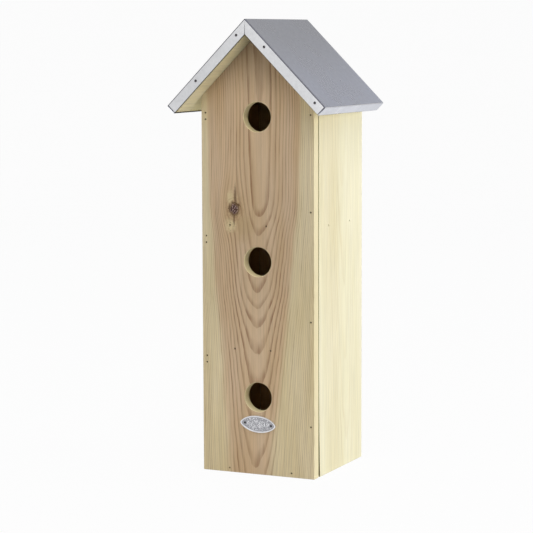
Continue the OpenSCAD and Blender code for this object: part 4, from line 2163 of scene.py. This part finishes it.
@dataclass(frozen=True)
class Studio:
    """A pale round sweep under soft light, and the camera where the picture was taken from."""

    floor_radius: float = 3.6
    cove: float = 0.5
    cove_steps: int = 9
    wall_height: float = 1.4
    sweep_steps: int = 96
    sweep_colour: Colour = (0.68, 0.68, 0.68, 1.0)
    sweep_clouds: Pattern = Pattern((3, 3, 3))
    sweep_tone: tuple[float, ...] = (0.3, 0.7, 0.98, 1.0)
    sweep_roughness: float = 0.9
    white_share: float = 0.95
    upside_down: float = -0.01
    sky: Colour = (0.955, 0.96, 1.0, 1.0)
    sky_low: float = 0.28
    sky_high: float = 0.80
    sky_rise: Pair = (0.2, 0.9)
    softboxes: tuple[Softbox, ...] = (
        Softbox("right_softbox", (2.15, 0.60, 0.34), 1.4, 31.6),
        Softbox("front_softbox", (0.80, -1.4, 2.4), 1.9, 27.0),
    )
    picture_px: float = 533.0
    focal_px: float = 2022.6
    sensor: float = 36.0
    yaw: float = math.radians(25.015)
    pitch: float = math.radians(6.533)
    roll: float = math.radians(-0.206)
    aim: Triple = (-0.01018, -0.00782, 0.22967)
    distance: float = 2.2893
    sight: float = 50.0

    def sweep_material(self) -> bpy.types.Material:
        """Builds the sweep's finish: matt white that the camera and mirrors see nearly without shading.

        Returns:
            The material.
        """
        plain = {"Roughness": self.sweep_roughness, "Specular IOR Level": 0.0}
        material, bench, shader = start_material("pale_sweep", plain)
        tone = bench.fade(bench.noise(bench.object_place(), self.sweep_clouds), *self.sweep_tone)
        bench.feed(shader.inputs["Base Color"], bench.tint(self.sweep_colour, tone))
        path = bench.lay("ShaderNodeLightPath")
        seen = bench.math("MAXIMUM", path.outputs["Is Camera Ray"], path.outputs["Is Glossy Ray"])
        seen = bench.math("MAXIMUM", seen, path.outputs["Is Transmission Ray"])
        share = bench.math("MULTIPLY", seen, self.white_share)
        white = bench.made("ShaderNodeEmission", {"Strength": 1.0})
        blend = bench.made("ShaderNodeMixShader", {0: share, 1: shader.outputs[0], 2: white})
        leave = next(node for node in material.node_tree.nodes if node.type == "OUTPUT_MATERIAL")
        bench.feed(leave.inputs["Surface"], blend)
        return material

    def build_sweep(self) -> None:
        """Turns the floor, the cove and the low wall as one bowl."""
        work = Workpiece()
        angles = [math.radians(90 * step / self.cove_steps) for step in range(self.cove_steps + 1)]
        centre = self.floor_radius - self.cove
        bend = [(centre + self.cove * math.sin(a), self.cove - self.cove * math.cos(a)) for a in angles]
        profile = [(0.0, 0.0), *bend, (self.floor_radius, self.wall_height)]
        work.turn(profile, Matrix.Identity(4), self.sweep_steps)
        lower = [face for face in work.bm.faces if face.normal.z < self.upside_down]
        bmesh.ops.reverse_faces(work.bm, faces=lower)
        sweep = work.to_object("pale_sweep")
        sweep.data.materials.append(self.sweep_material())

    def build_light(self) -> None:
        """Hangs the soft lamps under a sky that is brighter overhead."""
        world = bpy.data.worlds.new("studio")
        world.use_nodes = True
        bpy.context.scene.world = world
        backdrop = next(node for node in world.node_tree.nodes if node.type == "BACKGROUND")
        bench = Bench(world.node_tree)
        _, _, height = bench.split(bench.lay("ShaderNodeTexCoord").outputs["Generated"])
        strength = bench.fade(height, *self.sky_rise, self.sky_low, self.sky_high)
        bench.feed(backdrop.inputs["Strength"], strength)
        bench.feed(backdrop.inputs["Color"], self.sky)
        for box in self.softboxes:
            box.build()

    def build_camera(self) -> None:
        """Sets the camera up with the picture's view."""
        lens = bpy.data.cameras.new("picture_camera")
        lens.sensor_width = self.sensor
        lens.lens = self.focal_px / self.picture_px * self.sensor
        lens.clip_end = self.sight
        camera = bpy.data.objects.new("picture_camera", lens)
        bpy.context.scene.collection.objects.link(camera)
        turn = Matrix.Rotation(self.yaw, 4, "Z") @ Matrix.Rotation(math.pi / 2 - self.pitch, 4, "X")
        turn = turn @ Matrix.Rotation(self.roll, 4, "Z")
        camera.matrix_world = Matrix.Translation(self.aim) @ turn @ Matrix.Translation((0, 0, self.distance))
        bpy.context.scene.camera = camera

    def build(self) -> None:
        """Builds the whole studio."""
        self.build_camera()
        self.build_sweep()
        self.build_light()
        bpy.context.scene.view_settings.view_transform = "Standard"
        LOG.info("studio: sweep, softboxes and camera")


SIDE_SOFTENING = 0.3 * MM
BOARDS = (
    FrontBoard("front_wall", FRONT_WOOD, (TO_BACK,)),
    Board("back_wall", BACK_WOOD, (TO_FRONT,)),
    Board("left_wall", LEFT_WOOD, (TO_RIGHT,), SIDE_SOFTENING),
    RightBoard("right_wall", RIGHT_WOOD, (TO_LEFT,), SIDE_SOFTENING),
    Board("base_floor", FLOOR_WOOD, (UP,)),
    Board("middle_floor", FLOOR_WOOD, (UP, DOWN)),
    Board("upper_floor", FLOOR_WOOD, (UP, DOWN)),
    # Roof boards count their faces behind the sheet's folded edges as inner, and their finish paints those
    # dark as shade
    RoofBoard("left_roof_board", LEFT_ROOF_WOOD, (TO_FRONT, TO_BACK, (-SLOPE, 0, -SLOPE))),
    RoofBoard("right_roof_board", RIGHT_ROOF_WOOD, (TO_FRONT, TO_BACK, (SLOPE, 0, -SLOPE))),
)


def main() -> None:
    """Builds the studio and dresses every piece of the birdhouse."""
    logging.basicConfig(level=logging.INFO, format="%(message)s")
    Studio().build()
    brads = Brads()
    rows = brads.rows()
    for board in BOARDS:
        board.dress(brads, rows)
    brads.dress(rows)
    RoofSheet().dress()
    RoofNails().dress()
    OvalPlate().dress()


if __name__ == "__main__":
    main()
